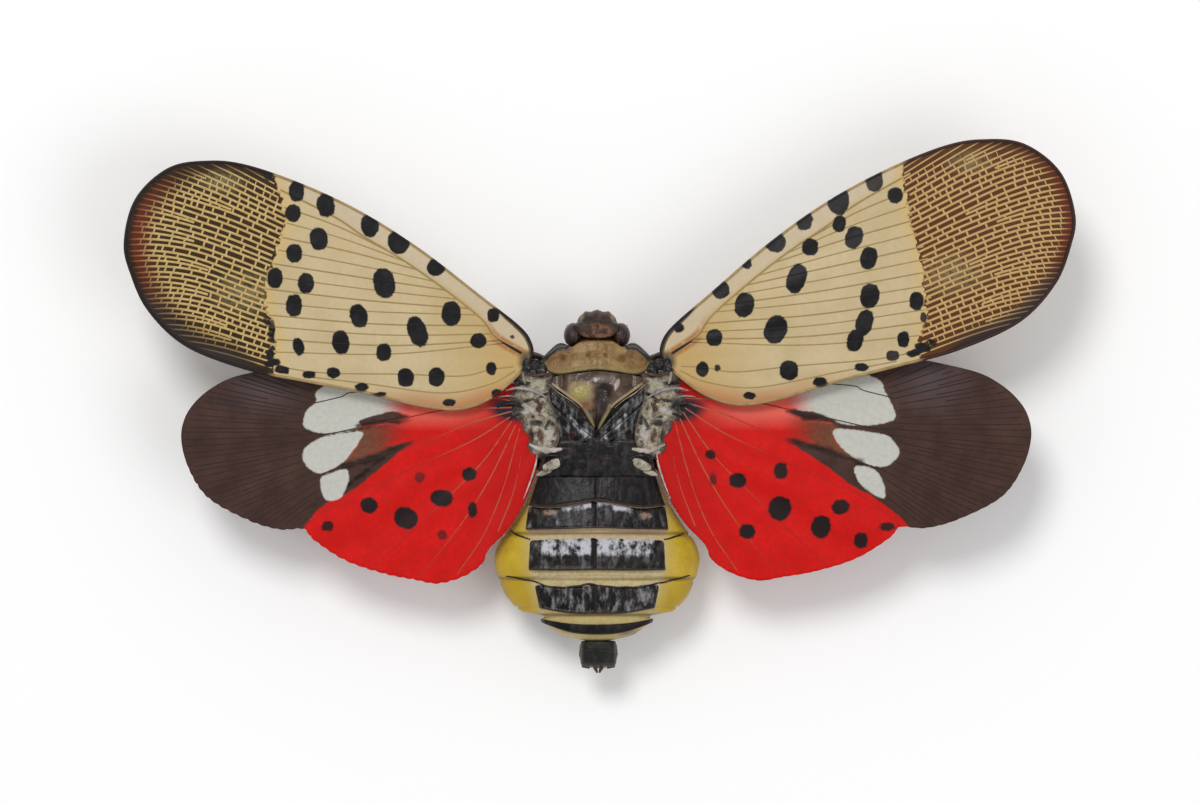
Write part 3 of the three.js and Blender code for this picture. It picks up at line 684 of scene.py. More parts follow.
def net_runs(side, outline):
    draw = random.Random(11 if side == "left" else 12)
    lattice_x, lattice_y = net_lattice()
    share, begin = net_rows(draw)
    count, steps = share.shape
    x = np.empty_like(share)
    y = np.empty_like(share)
    marks = np.linspace(0, 1, lattice_x.shape[0])
    for j in range(steps):
        x[:, j] = np.interp(share[:, j], marks, lattice_x[:, j])
        y[:, j] = np.interp(share[:, j], marks, lattice_y[:, j])
    x, y = placed("fore", side, x, y)
    depth = distance_to_line(x.ravel(), y.ravel(), outline, closed=True).reshape(x.shape)
    beyond = beyond_nodal(x, y, side)
    outward = np.linspace(0, 1, steps)
    runs = []
    for k in range(count):
        open_here = (depth[k] > 0.03) & (beyond[k] > draw.uniform(-0.12, 0.08)) & (outward > begin[k])
        where = np.flatnonzero(open_here)
        if len(where) > 3:
            part = slice(where[0], where[-1] + 1)
            width = NET_VEIN * (0.62 + 0.38 * unit(depth[k, part] / 1.3))
            runs.append(rise_of("fore", side, np.column_stack([x[k, part], y[k, part]]), width))
    # Cross veins, staggered from row to row, each to the next row that has come in there
    for k in range(count - 1):
        place = draw.uniform(0, CELL)
        while place < NET_LENGTH:
            at = place / NET_LENGTH * (steps - 1)
            near = int(at)
            after = k + 1 if outward[near] > begin[k + 1] else min(k + 2, count - 1)
            ends = [(np.interp(at + lean, range(steps), x[m]), np.interp(at + lean, range(steps), y[m]))
                    for m, lean in ((k, -0.4), (after, 0.6))]
            here = min(depth[k, near], depth[after, near])
            outer = unit((x[k, near] - 20.5) / 1.5) * unit((y[k, near] + 13.2) / 1.5)
            outer *= 0.45 if side == "left" else 0.1
            is_open = here > 0.2 + outer and min(beyond[k, near], beyond[after, near]) > 0.08
            if is_open and outward[near] > begin[k]:
                width = NET_VEIN * 0.9 * (0.5 + 0.5 * min(here / 1.6, 1))
                runs.append(rise_of("fore", side, ends, width))
            crowd = 0.62 if here < 2.2 else 1.0
            place += CELL * crowd * draw.uniform(0.6, 1.35)
    return runs


# Veins of the tan field, as left wing lines of (out, back) with their radius
FORE_MAIN_VEIN = [(3.9, -2.8), (5.2, -3.6), (6, -4.6), (8, -6.2), (10, -7.6), (12, -8.8), (13.5, -9.8),
                  (16.3, -11.2)]
FORE_CLAVAL_VEINS = [
    [(4.3, -2.1), (5.5, -1.95), (7, -1.62), (10, -1.72), (14, -1.78), (16.4, -2.1)],
    [(4.2, -1.9), (5.5, -1.2), (8, -0.75), (12, -1.25), (15, -1.6)],
]


def fore_vein_runs(side):
    main = smooth_path(FORE_MAIN_VEIN, 60)
    lines = [(main, 0.075)]
    lines += [(smooth_path(line, 50), 0.06) for line in FORE_CLAVAL_VEINS]
    ends = [(16.1, -10.3), (16.0, -9.5), (16.2, -8.75), (16.4, -8.1), (16.7, -7.4), (16.9, -6.75),
            (17.0, -6.1), (17.0, -5.4), (16.9, -4.75), (16.65, -4.15), (16.5, -3.5), (16.5, -2.85)]
    for k, end in enumerate(ends):
        share = k / (len(ends) - 1)
        root = main[int(30 * (1 - share) ** 1.3) + 4]
        bend = ((root[0] + end[0]) / 2, (root[1] + end[1]) / 2 + 0.5 * (share - 0.35))
        lines.append((smooth_path([tuple(root), bend, end], 40), 0.058 if k % 2 else 0.064))
    runs = []
    for line, radius in lines:
        x, y = placed("fore", side, line[:, 0], line[:, 1])
        runs.append(rise_of("fore", side, np.column_stack([x, y]), radius))
    return runs


def margin_run(kind, side, radius):
    ring = wing_outline(kind, side, 420)
    return rise_of(kind, side, np.vstack([ring, ring[:1]]), radius)


def forewing_paint():
    paint = Paint("forewing_wax", roughness=0.55, specular=0.18)
    out = paint.out()
    spot = paint.field("spot")
    tip = paint.field("tip")
    border = paint.field("border")
    front = paint.field("front")
    fine = paint.noise(0.25, detail=4)
    broad = paint.noise(2.2, detail=3)
    tan = paint.mix(broad.step(0.3, 0.75), "cab893", "bfab84")
    tan = paint.mix((1 - out.step(4, 10)) * 0.85, tan, "bb9856")
    tan = paint.mix(front.step(0.0, 0.35) * 0.8, tan, "c8b9a2")
    # Orange towards the rear edge near the root: painted red light of the hindwing beneath, shining through
    # the wing.
    tan = paint.mix(paint.field("rear") * 0.85, tan, "b0663a")
    tan = paint.mix(paint.field("streak") * fine.step(0.25, 0.5), tan, "a05c22")
    tan = paint.mix(paint.field("root_dark").step(0.1, 0.6), tan, "1f1815")
    tan = paint.mix((fine - 0.5) * 0.5 + 0.25, tan, "a8946a")
    net_edge = tip + (paint.noise(0.4) - 0.5) * 0.8
    tan = paint.mix(net_edge.step(-0.8, -0.1) * 0.6, tan, "c9a968")
    dark = paint.mix(border.step(0.2, 1.6), "1d120a", "301f0f")
    dark = paint.mix(fine.step(0.3, 0.7) * 0.5, dark, "3d2a12")
    dark = paint.mix(paint.field("warm") * 0.9 * border.step(0.2, 1.2), dark, "553012")
    glow = border.step(0.2, 0.5) * (1 - border.step(0.8, 1.8)) * paint.field("apex")
    dark = paint.mix(glow * 0.85, dark, "5a230f")
    dark = paint.mix(paint.field("pale_cells") * fine.step(0.3, 0.55) * 0.7, dark, "857c58")
    dark = paint.mix(paint.field("rear_margin"), dark, "2b2726")
    ground = paint.mix(net_edge.step(-0.04, 0.04), tan, dark)
    # Spots: near black, with lighter bluish patches that are painted highlight.
    black = paint.mix(paint.noise(0.5).step(0.45, 0.75), "0e0b0c", "1f1d22")
    mask = spot.ragged(fine, 0.16).step(-0.03, 0.04) * paint.field("spot_strength")
    paint.colour(paint.mix(mask, ground, black))
    paint.roughness(0.6 - mask * 0.15)
    paint.bump(fine, 0.02, 0.5)
    return paint.material


def fore_vein_paint():
    paint = Paint("forewing_vein", roughness=0.55, specular=0.2)
    border = paint.field("border")
    tip = paint.field("tip")
    spot = paint.field("spot")
    fine = paint.noise(0.3)
    field_vein = paint.mix(fine, "a58e5e", "8b7443")
    net = paint.mix(fine.step(0.3, 0.7), "c6ab70", "b3965c")
    glow = paint.mix(paint.field("apex"), "6a4c26", "84421d")
    net = paint.mix(paint.field("warm") * 0.5, net, "b88f60")
    net = paint.mix(border.step(0.3, 1.7), glow, net)
    net = paint.mix(paint.field("rear_margin") * 0.9, net, "6a6052")
    net = paint.mix(border.step(0.1, 0.42), "21140c", net)
    whole = paint.mix(tip.step(-0.25, 0.15), field_vein, net)
    whole = paint.mix(paint.field("streak"), whole, "7a4318")
    whole = paint.mix(paint.field("root_dark").step(0.0, 0.4), whole, "1d1513")
    mask = spot.ragged(fine, 0.12).step(-0.03, 0.03) * paint.field("spot_strength")
    paint.colour(paint.mix(mask, whole, "171213"))
    return paint.material


def rim_paint():
    paint = Paint("forewing_rim", roughness=0.5, specular=0.25)
    tip = paint.field("tip")
    spot = paint.field("spot")
    fine = paint.noise(0.4)
    tan = paint.mix(fine, "b39b6e", "7d6239")
    dark = paint.mix(paint.field("warm"), "1b120e", "341a11")
    whole = paint.mix(tip.step(-0.2, 0.4), tan, dark)
    whole = paint.mix(paint.field("root_dark").step(0.0, 0.4), whole, "1a1412")
    paint.colour(paint.mix(spot.step(-0.1, 0.05), whole, "141011"))
    return paint.material


def add_fore_fields(piece, side):
    x, y = flat_points(piece)
    own_x, own_y = unplaced("fore", side, x, y)
    spot, strength = spot_field(x, y, FORE_SPOTS[side])
    edge = distance_to_line(x, y, wing_outline("fore", side), closed=True)
    tip = beyond_nodal(x, y, side)
    main = smooth_path(FORE_MAIN_VEIN, 60)
    front = np.interp(own_x, main[:, 0], main[:, 1]) - own_y
    # The dark border is widest round the outer margin and narrow along the leading one
    leading = unit((-own_y - 9.3) / 1.5) * unit((21.6 - own_x) / 2)
    inner = unit((18.6 - own_x) / 1.2)
    border = edge / (1 - 0.68 * np.maximum(leading, inner)) / (0.42 if side == "right" else 1.0)
    rear_margin = (unit((own_y + 6.4) / 1.5) * unit(0.95 - edge)
                   * unit((own_x - 17.2) / 1.5))
    # Where the painted red light of the hindwing shows through, near the rear edge.
    from_rear = np.abs(own_y - np.interp(own_x, [4.0, 7.5, 11.5], [-0.9, 0.1, -0.7]))
    rear = unit(1.1 - from_rear / 0.75) * unit((12.5 - own_x) / 4)
    near_main = distance_to_line(own_x, own_y, main[:24])
    streak = unit(1.2 - np.abs(near_main - 0.16) / 0.14) * unit((5.9 - own_x) / 0.9)
    root_dark = unit(1.1 - np.hypot(own_x - 3.45, own_y + 2.35) / 0.75)
    root_dark = np.maximum(root_dark, unit((0.2 - edge) / 0.1) * unit((5.4 - own_x) / 1.2)
                           * (own_y < -2.4))
    root_dark = np.maximum(root_dark, unit((0.12 - near_main) / 0.08) * unit((5.2 - own_x) / 1.2))
    apex = unit(1.25 - np.hypot(own_x - 24.0, (own_y + 9.2) * 0.5) / 2.6)
    pale = unit(1.1 - np.hypot((own_x - 18.0) / 2.0, (own_y + 5.9) / 1.2))
    pale = np.maximum(pale, unit(1.1 - np.hypot((own_x - 19.3) / 1.3, (own_y + 11.6) / 0.7)))
    keep_fields(piece, spot=spot, spot_strength=strength, border=border, tip=tip,
                front=np.where(tip < 0, front, -1), rear=rear, apex=apex, pale_cells=pale,
                rear_margin=rear_margin, streak=streak, root_dark=root_dark,
                warm=1.0 if side == "right" else 0.0)


def make_forewing(side, paints):
    membrane = make_membrane("fore", side, 300, 96)
    outline = wing_outline("fore", side)
    net = tubes(f"forewing_{side}_net", net_runs(side, outline))
    veins = tubes(f"forewing_{side}_veins", fore_vein_runs(side))
    lead = wing_edges("fore", side, EDGE_STEPS)[0][:COSTAL_STEPS]
    lead_x, lead_y = placed("fore", side, lead[:, 0], lead[:, 1])
    thick = np.interp(np.arange(COSTAL_STEPS), *COSTAL_THICK)
    costal = rise_of("fore", side, np.column_stack([lead_x, lead_y]), thick)
    rim = tubes(f"forewing_{side}_rim", [margin_run("fore", side, 0.085), costal], sides=2)
    for piece, paint in ((membrane, paints[0]), (net, paints[1]), (veins, paints[1]), (rim, paints[2])):
        add_fore_fields(piece, side)
        finish_piece(piece, paint, (f"forewing_{side}",))


def hindwing_paint():
    paint = Paint("hindwing_wax", roughness=0.6, specular=0.15)
    out = paint.out()
    white = paint.field("white")
    red_in = paint.field("red")
    spot = paint.field("spot")
    fine = paint.noise(0.22, detail=4)
    soft = paint.noise(1.2, detail=4)
    red = paint.mix(soft.step(0.3, 0.7), "c40602", "d20f0a")
    red = paint.mix((fine - 0.35) * 0.6, red, "ad0805")
    red = paint.mix((1 - out.step(4, 8)) * 0.6, red, "a90a08")
    veinlets = paint.cells(0.42, "DISTANCE_TO_EDGE")
    red = paint.mix((1 - veinlets.step(0.03, 0.14)) * 0.35, red, "a11710")
    red = paint.mix(paint.field("blush") * 0.9, red, "dd6556")
    brown = paint.mix(soft.step(0.25, 0.75), "37241f", "4a322a")
    brown = paint.mix((fine - 0.4) * 0.6, brown, "2a1a18")
    # Grey towards the front of the brown field: painted sheen.
    brown = paint.mix(paint.field("grey_front") * 0.5, brown, "5b5258")
    smoke = paint.mix(out.step(9.8, 12.3), "86231a", "6c4733")
    smoke = paint.mix(fine.step(0.35, 0.7) * 0.5, smoke, "5d2a1c")
    ground = paint.mix(red_in.ragged(fine, 0.2).step(-0.06, 0.06), brown, red)
    haze = paint.noise(0.5, detail=4, stretch=(0.45, 1.6, 1))
    fade = out.step(9.2, 11.4)
    ground = paint.mix(paint.field("smoke").ragged(haze, 0.9).step(-0.35, 0.3) * fade, ground, smoke)
    chalk = paint.mix(fine.step(0.2, 0.8), "b4b4ac", "bfbfb7")
    chalk = paint.mix(1 - out.step(9.7, 11.4), chalk, "cf5a52")
    ground = paint.mix(white.ragged(fine, 0.14).step(-0.05, 0.05), ground, chalk)
    streak = (paint.field("streak") + (haze - 0.5) * 0.7 + (fine - 0.5) * 0.2).step(-0.04, 0.22)
    ground = paint.mix(streak * out.step(9.0, 10.6) * 0.95, ground, "21110c")
    ground = paint.mix(paint.field("root_dark") * fine.step(0.2, 0.45), ground, "1c2029")
    mask = spot.ragged(fine, 0.2).step(-0.05, 0.07) * paint.field("spot_strength")
    paint.colour(paint.mix(mask, ground, "1d1012"))
    paint.roughness(0.6 - mask * 0.1)
    paint.bump(fine, 0.02, 0.6)
    return paint.material


def hind_vein_paint():
    paint = Paint("hindwing_vein", roughness=0.55, specular=0.2)
    white = paint.field("white")
    red_in = paint.field("red")
    fine = paint.noise(0.3)
    near_root = 1 - paint.out().step(5.5, 9.5)
    red = paint.mix(near_root * fine.step(0.2, 0.5) * 0.8, "ab130c", "a8623e")
    brown = paint.mix(fine, "211513", "372622")
    whole = paint.mix(red_in.step(-0.1, 0.1), brown, red)
    whole = paint.mix(white.step(-0.05, 0.05), whole, "453a2e")
    mask = paint.field("spot").step(-0.05, 0.05) * paint.field("spot_strength")
    paint.colour(paint.mix(mask, whole, "1d1012"))
    return paint.material


def add_hind_fields(piece, side):
    x, y = flat_points(piece)
    spot, strength = spot_field(x, y, HIND_SPOTS[side])
    white = np.max([inside_outline(x, y, cell) for cell in WHITE_CELLS[side]], axis=0)
    red = distance_to_line(x, y, np.array(RED_FIELD[side]), closed=True)
    smoke = inside_outline(x, y, SMOKY_PATCH[side])
    streaks = [smooth_path(line, 30) for line in DARK_STREAKS[side]]
    streak = np.max([0.22 - distance_to_line(x, y, line) for line in streaks], axis=0)
    wedge = unit(1 - np.abs(red + 0.35) / 0.4) * (x > 10.6) * (x < 12.9) * (y > 0.55 * x - 3.5)
    streak = np.maximum(streak, 0.65 * wedge - 0.4)
    blush = unit((x - 5.0) / 2.6) * unit((1.2 - y) / 0.9)
    root = unit(1.4 - np.hypot((x - 4.45 + 0.45 * y) / 1.0, (y - 0.12) / 0.58))
    # Where the painted grey sheen lies, towards the front of the outer brown field.
    grey = unit(1 - np.abs(x - 17.2) / 2.6) * unit((0.6 - y) / 1.6)
    keep_fields(piece, 9, spot=spot, spot_strength=strength, white=white, red=red, smoke=smoke,
                streak=streak, blush=blush, root_dark=root * 1.6, grey_front=grey)


# Veins of the left hindwing as (out, back) lines with their radius at the root
HIND_VEINS = [
    ([(4.2, -0.3), (8, -0.9), (12.4, -0.8), (13.2, -0.55), (14.6, -0.22)], 0.075),
    ([(4.4, 0.0), (7.5, 0.1), (9.7, 0.5), (12.2, 1.02), (14.1, 1.38), (15.2, 1.2)], 0.09),
    ([(14.1, 1.38), (14.6, 1.75), (15.2, 2.0)], 0.06),
    ([(4.4, 0.2), (6.5, 0.8), (8.9, 1.8), (11.4, 2.6), (13.1, 3.05), (14.2, 3.42)], 0.09),
    ([(4.5, 0.5), (6.5, 1.75), (9.3, 3.0), (11.5, 4.0), (13.0, 4.6), (15.0, 6.0)], 0.085),
    ([(4.4, 0.7), (5.95, 2.85), (8.3, 5.2), (11.5, 8.2)], 0.08),
    ([(4.2, 0.9), (5.5, 3.6), (7.0, 6.0), (9.2, 8.8)], 0.08),
    ([(4.0, 1.1), (4.8, 4.0), (5.8, 6.5), (7.2, 8.6)], 0.075),
    ([(3.8, 1.3), (4.2, 4.0), (5.1, 6.4)], 0.07),
    ([(6.5, 1.75), (9.0, 4.0), (11.5, 6.2), (13.4, 7.4)], 0.065),
    ([(5.95, 2.85), (8.0, 5.8), (10.2, 8.5)], 0.06),
]
TIP_FAN_CENTRE = (9.8, 0.9)
TIP_FAN_LINES = 46


def hind_vein_runs(side, outline):
    runs = []
    for line, radius in HIND_VEINS:
        path = smooth_path(line, 60)
        x, y = placed("hind", side, path[:, 0], path[:, 1])
        run = clip_to_wing(np.column_stack([x, y]), outline, 0.03)
        if run is not None:
            runs.append(rise_of("hind", side, run, np.linspace(radius * 0.7, 0.055, len(run))))
    draw = random.Random(21 if side == "left" else 22)
    cx, cy = TIP_FAN_CENTRE
    cells = [smooth_path(cell, 90, closed=True) for cell in WHITE_CELLS[side]]
    for k in range(TIP_FAN_LINES):
        angle = math.radians(-30 + 78 * (k + draw.uniform(-0.2, 0.2)) / (TIP_FAN_LINES - 1))
        first = 4.3 if k % 2 else 6.2 + draw.uniform(0, 1.5)
        reach = np.arange(first, 13, 0.3)
        x = cx + reach * np.cos(angle - 0.004 * reach)
        y = cy + reach * np.sin(angle - 0.004 * reach)
        x, y = placed("hind", side, x, y)
        outside = np.max([distance_to_line(x, y, cell, closed=True) for cell in cells], axis=0) < -0.05
        brown = distance_to_line(x, y, np.array(RED_FIELD[side]), closed=True) < -0.1
        keep = outside & brown
        run = clip_to_wing(np.column_stack([x, y])[keep], outline, 0.04)
        if run is not None:
            runs.append(rise_of("hind", side, run, 0.055))
    return runs


def make_hindwing(side, paints):
    membrane = make_membrane("hind", side, 420, 110)
    outline = wing_outline("hind", side)
    veins = tubes(f"hindwing_{side}_veins", hind_vein_runs(side, outline))
    rim = tubes(f"hindwing_{side}_rim", [margin_run("hind", side, 0.055)])
    for piece, paint in ((membrane, paints[0]), (veins, paints[1]), (rim, paints[0])):
        add_hind_fields(piece, side)
        finish_piece(piece, paint, (f"hindwing_{side}",))


# Trunk, as in the solids, all by distance back from the hinge line

RIDGE = profile([(-3.5, 4.7), (-2, 5.1), (-1, 5.38), (.3, 5.4), (1.1, 5.22), (2.2, 4.95), (3.5, 4.92),
                 (4.9, 5.1), (7.6, 5.25), (9.2, 5.05), (10.5, 4.72), (11.5, 4.3), (12.2, 3.9)])
BELLY = profile([(-3.5, 2.3), (-2.5, 1.9), (-1, 1.55), (3, 1.4), (8, 1.35), (10, 1.6), (11.5, 2.1),
                 (12.2, 2.5)])
HALF_WIDTH = profile([(-3.5, 1.45), (-2.6, 1.95), (-1.7, 2.6), (0, 2.95), (2, 3.0), (3.5, 3.15), (4.2, 3.4),
                      (5, 3.82), (6, 4.45), (7.1, 5.2), (7.7, 5.38), (8.4, 5.32), (9.1, 5.08), (9.9, 4.68),
                      (10.6, 3.95), (11.1, 2.95), (11.6, 2.25), (12.2, 1.3)])
SHOULDER = profile([(-3.5, 2.4), (-1.5, 3.6), (2.5, 3.6), (4, 2.6), (6, 2.3), (12.2, 2.2)])
WAIST = 3.1
SKIN_INSET = 0.07
TRUNK_ENDS = (-3.38, 12.12)
FOLDS = (3.5, 4.88, 6.5, 8.85, 10.72, 11.9)
# Seams between the side plates of the thorax, as (back, lean to the rear as they rise)
FLANK_SEAMS = [(-2.5, .3), (-1.7, .5), (-.75, .35), (.15, .6), (1.15, .3), (1.95, .6), (2.75, .3)]
# Half width of the plates on the abdomen, at marks along it
PLATE_HALF = ([3.5, 4.9, 6.2, 8.4, 9.2, 10.6, 11.2, 12], [3.1, 3.6, 3.55, 3.5, 3.3, 2.9, 2.9, 2])


def trunk_half_width(y):
    """The side lobes end in a step before the last segment."""
    step = 4.15 - 1.25 * ease((y - 10.5) / 0.32) - 1.6 * unit((y - 11.0) / 1.2) ** 1.6
    lobes = np.where(y > 10.3, np.minimum(HALF_WIDTH(y), step), HALF_WIDTH(y))
    return lobes - SKIN_INSET


def trunk_height(y):
    """Height of the skin's ridge over the waist. Under the shields it is lower, as in the solids."""
    drop = 0.7 * (1 - ease((y - 1.18) / 0.7))
    return RIDGE(y) - drop - SKIN_INSET - WAIST


def trunk_top(x, y):
    """Height of the skin, seen from above."""
    n = SHOULDER(y)
    share = np.clip(np.abs(x) / trunk_half_width(y), 0, 0.999)
    return WAIST + trunk_height(y) * (1 - share ** n) ** (1 / n)


def body_roof(x, y):
    """The thorax's top surface, over which its rear plates lie."""
    return RIDGE(y) - 0.55 * (np.abs(x) / 3) ** 2


def rough(x, y, size, seed):
    """Uneven waves of the given size, from about -1 to 1."""
    return np.array([noise.fractal(Vector((a / size, b / size, seed)), 0.7, 2.1, 4) for a, b in zip(x, y)])


def fold_depth(y, angle):
    """How deep the folds between the segments cut into the skin."""
    depth = np.zeros_like(y)
    for fold in FOLDS:
        swing = 0.12 * np.cos(2 * angle)
        depth += 0.1 * hill(y - fold - swing, 0.09)
    flank = 1 - np.abs(np.sin(angle)) ** 6
    for seam, lean in FLANK_SEAMS:
        depth += 0.1 * flank * hill(y - seam - lean * np.sin(angle), 0.07)
    belt = 0.09 * np.exp(-((np.sin(angle) + 0.42 + 0.08 * np.sin(y * 3)) / 0.09) ** 2)
    return depth + belt * ease((3.2 - y) / 0.3)


def make_skin(paint):
    first, last = TRUNK_ENDS

    def place(angle, share):
        run = 0.5 * share + 0.5 * (1 - np.cos(math.pi * share)) / 2
        y = first + (last - first) * run
        near_end = np.minimum(y - first, last - y)
        shut = np.sqrt(1 - (1 - unit(near_end / 0.4)) ** 2)
        cos, sin = np.cos(angle), np.sin(angle)
        power = np.where(sin > 0, SHOULDER(y), 2.0)
        across = np.sign(cos) * np.abs(cos) ** (2 / power)
        rise = np.sign(sin) * np.abs(sin) ** (2 / power)
        cut = fold_depth(y, angle) * shut
        half = np.maximum(trunk_half_width(y) - cut, 0.05) * shut
        top = np.maximum(trunk_height(y) - cut, 0.05) * shut
        under = np.maximum(WAIST - BELLY(y) - SKIN_INSET - cut, 0.05) * shut
        return np.column_stack([half * across, y, WAIST + rise * np.where(sin > 0, top, under)])

    piece = shaped_ball("trunk_skin", 176, 260, place)
    x, y, z = points_of(piece).T
    out = np.abs(x)
    lobe = out - np.interp(y, *PLATE_HALF)
    band = np.where((y > 4.9) & (z > WAIST + 0.4), -lobe, -1.0)
    crease = np.zeros_like(y)
    for fold in FOLDS[2:5]:
        crease = np.maximum(crease, 1 - np.abs(y - fold) / 0.13)
    belly = np.where(z < WAIST - 0.5, 1.6 - np.abs(x) * 0.45, -1)
    bruise = unit(1.2 - np.hypot((x + 1.75) / 0.85, (y - 11.75) / 0.42))
    finish_piece(piece, paint,
                 ("prothorax", "mesothorax", "metathorax", *(f"abdomen_{k}" for k in range(1, 6))))
    keep_fields(piece, lobe=lobe, band=band, crease=unit(crease), belly=belly, bruise=bruise)


def skin_paint():
    paint = Paint("body_skin", roughness=0.42, specular=0.4)
    _, y, _ = paint.axes()
    fine = paint.noise(0.18, detail=4)
    soft = paint.noise(0.9, detail=4)
    yellow = paint.mix(soft.step(0.3, 0.75), "bfa01f", "a98a10")
    yellow = paint.mix((fine - 0.4) * 0.5, yellow, "cbb346")
    yellow = paint.mix(y.step(8.6, 9.2) * 0.6, yellow, "ab8a08")
    ochre = paint.field("lobe").step(0.0, 0.7)
    yellow = paint.mix((1 - ochre) * 0.75, yellow, "b39c54")
    band = paint.mix(fine.step(0.3, 0.7), "c3b284", "ac9a6c")
    band = paint.mix((1 - y.step(6.3, 7.6)) * 0.5, band, "a98974")
    band = paint.mix(soft.step(0.5, 0.7) * 0.4, band, "b08a70")
    band = paint.mix(y.step(10, 11) * 0.5, band, "b7a35c")
    abdomen = paint.mix(paint.field("band").step(-0.15, 0.2), yellow, band)
    abdomen = paint.mix(paint.field("crease") * 0.75, abdomen, "5a4413")
    abdomen = paint.mix(paint.field("bruise") * fine.step(0.25, 0.6) * 0.8, abdomen, "6a4f3a")
    dark = paint.mix(fine.step(0.35, 0.65), "1b191b", "2e2a2b")
    abdomen = paint.mix(paint.field("belly").step(0.2, 0.5) * y.step(4, 5), abdomen, dark)
    thorax = paint.mix(soft.step(0.35, 0.65), "2a2422", "4b4038")
    thorax = paint.mix(fine.step(0.55, 0.75) * 0.6, thorax, "8b8474")
    paint.colour(paint.mix(y.ragged(fine, 0.4).step(3.4, 3.6), thorax, abdomen))
    paint.bump(fine * 0.6 + paint.noise(0.5) * 0.4, 0.05, 0.7)
    return paint.material


# Hard plates of the body

PLATE_THICKNESS = 0.06
SHIELD_THICKNESS = 0.09
STRIP_STEPS = 240


def strip_sheet(name, front, rear, columns, rows, height, thickness=PLATE_THICKNESS):
    """A sheet between two lines of (x, y) points, with height(x, y, u, v) over it."""
    front, rear = (smooth_path(line, STRIP_STEPS) for line in (front, rear))
    steps = np.linspace(0, 1, STRIP_STEPS)

    def place(u, v):
        x = np.interp(u, steps, front[:, 0]) * (1 - v) + np.interp(u, steps, rear[:, 0]) * v
        y = np.interp(u, steps, front[:, 1]) * (1 - v) + np.interp(u, steps, rear[:, 1]) * v
        return np.column_stack([x, y, height(x, y, u, v)])

    piece = shaped_sheet(name, columns, rows, place)
    thicken(piece, thickness)
    return piece


def mirrored(half):
    """A line over both sides from its right half, given from the midline outward."""
    half = np.array(half, float)
    other = half[::-1] * [-1, 1]
    return np.vstack([other[:-1] if half[0][0] == 0 else other, half])


# Tergites: halves of their front and rear lines from the midline outward, the share of the length that wax
# covers, the half width of that wax, the greyness, and whether wax also lies along the front line
TERGITES = [
    ("tergite_1", [(0, 3.52), (1.6, 3.5), (3.0, 3.55)],
     [(0, 4.8), (1.2, 5.0), (2.4, 5.16), (3.5, 5.06)], 0, 3, 0.1, False),
    ("tergite_2", [(0, 4.86), (1.2, 5.06), (2.4, 5.22), (3.55, 5.12)],
     [(0, 6.2), (1.8, 6.26), (3.66, 6.3)], 0.2, 1.9, 0.45, True),
    ("tergite_3", [(0, 6.74), (1.8, 6.8), (3.5, 6.86)],
     [(0, 8.38), (1.8, 8.4), (3.5, 8.38)], 0.5, 3.05, 0.5, False),
    ("tergite_4", [(0, 9.1), (.6, 9.22), (1.8, 9.3), (3.25, 9.15)],
     [(0, 10.62), (1.5, 10.6), (2.95, 10.35)], 0, 3, 1.3, False),
    ("tergite_5", [(0, 11.22), (1.5, 11.17), (2.9, 10.98)],
     [(0, 11.72), (1.4, 11.6), (2.85, 11.12)], 0, 3, 0.1, False),
]
# Pale glints on the second one, as (across, back, width, length)
GLINTS = [(2.45, 5.4, .5, .22), (-2.5, 5.6, .45, .25)]


def make_tergites(paint):
    for name, front, rear, wax, wax_half, grey, front_wax in TERGITES:
        def height(x, y, u, v):
            edge = np.abs(2 * u - 1)
            tuck = 0.16 * unit((edge - 0.93) / 0.07) ** 2
            lip = 0.05 * hill(v - 0.96, 0.06) + 0.1 * v
            groove = 0.05 * hill(x, 0.09)
            dents = 0.022 * rough(x, y, 0.55, 4.0)
            return trunk_top(x, y) + 0.06 + lip - tuck - groove + dents - 0.1 * unit(1 - v / 0.08)

        lines = (mirrored(front), mirrored(rear))
        piece = strip_sheet(name, *lines, 150, 48, height)
        x, y, _ = points_of(piece).T
        start, stop = (np.interp(x, *smooth_path(line, 80).T) for line in lines)
        share = (y - start) / np.maximum(stop - start, 0.2)
        edge = unit((wax_half - np.abs(x)) / 0.5)
        cover = np.clip((wax + 0.1 - share) / 0.25, -0.5, 1) * edge if wax else -0.5
        if front_wax:
            cover = np.maximum(cover, (1.7 - share / 0.1) * edge)
        glint = sum(np.exp(-(((x - gx) / wide) ** 2 + ((y - gy) / long) ** 2))
                    for gx, gy, wide, long in GLINTS)
        keep_fields(piece, wax=cover, grey=grey, share=share, median=np.abs(x - 0.15), glint=glint)
        finish_piece(piece, paint, ("abdomen_2",))


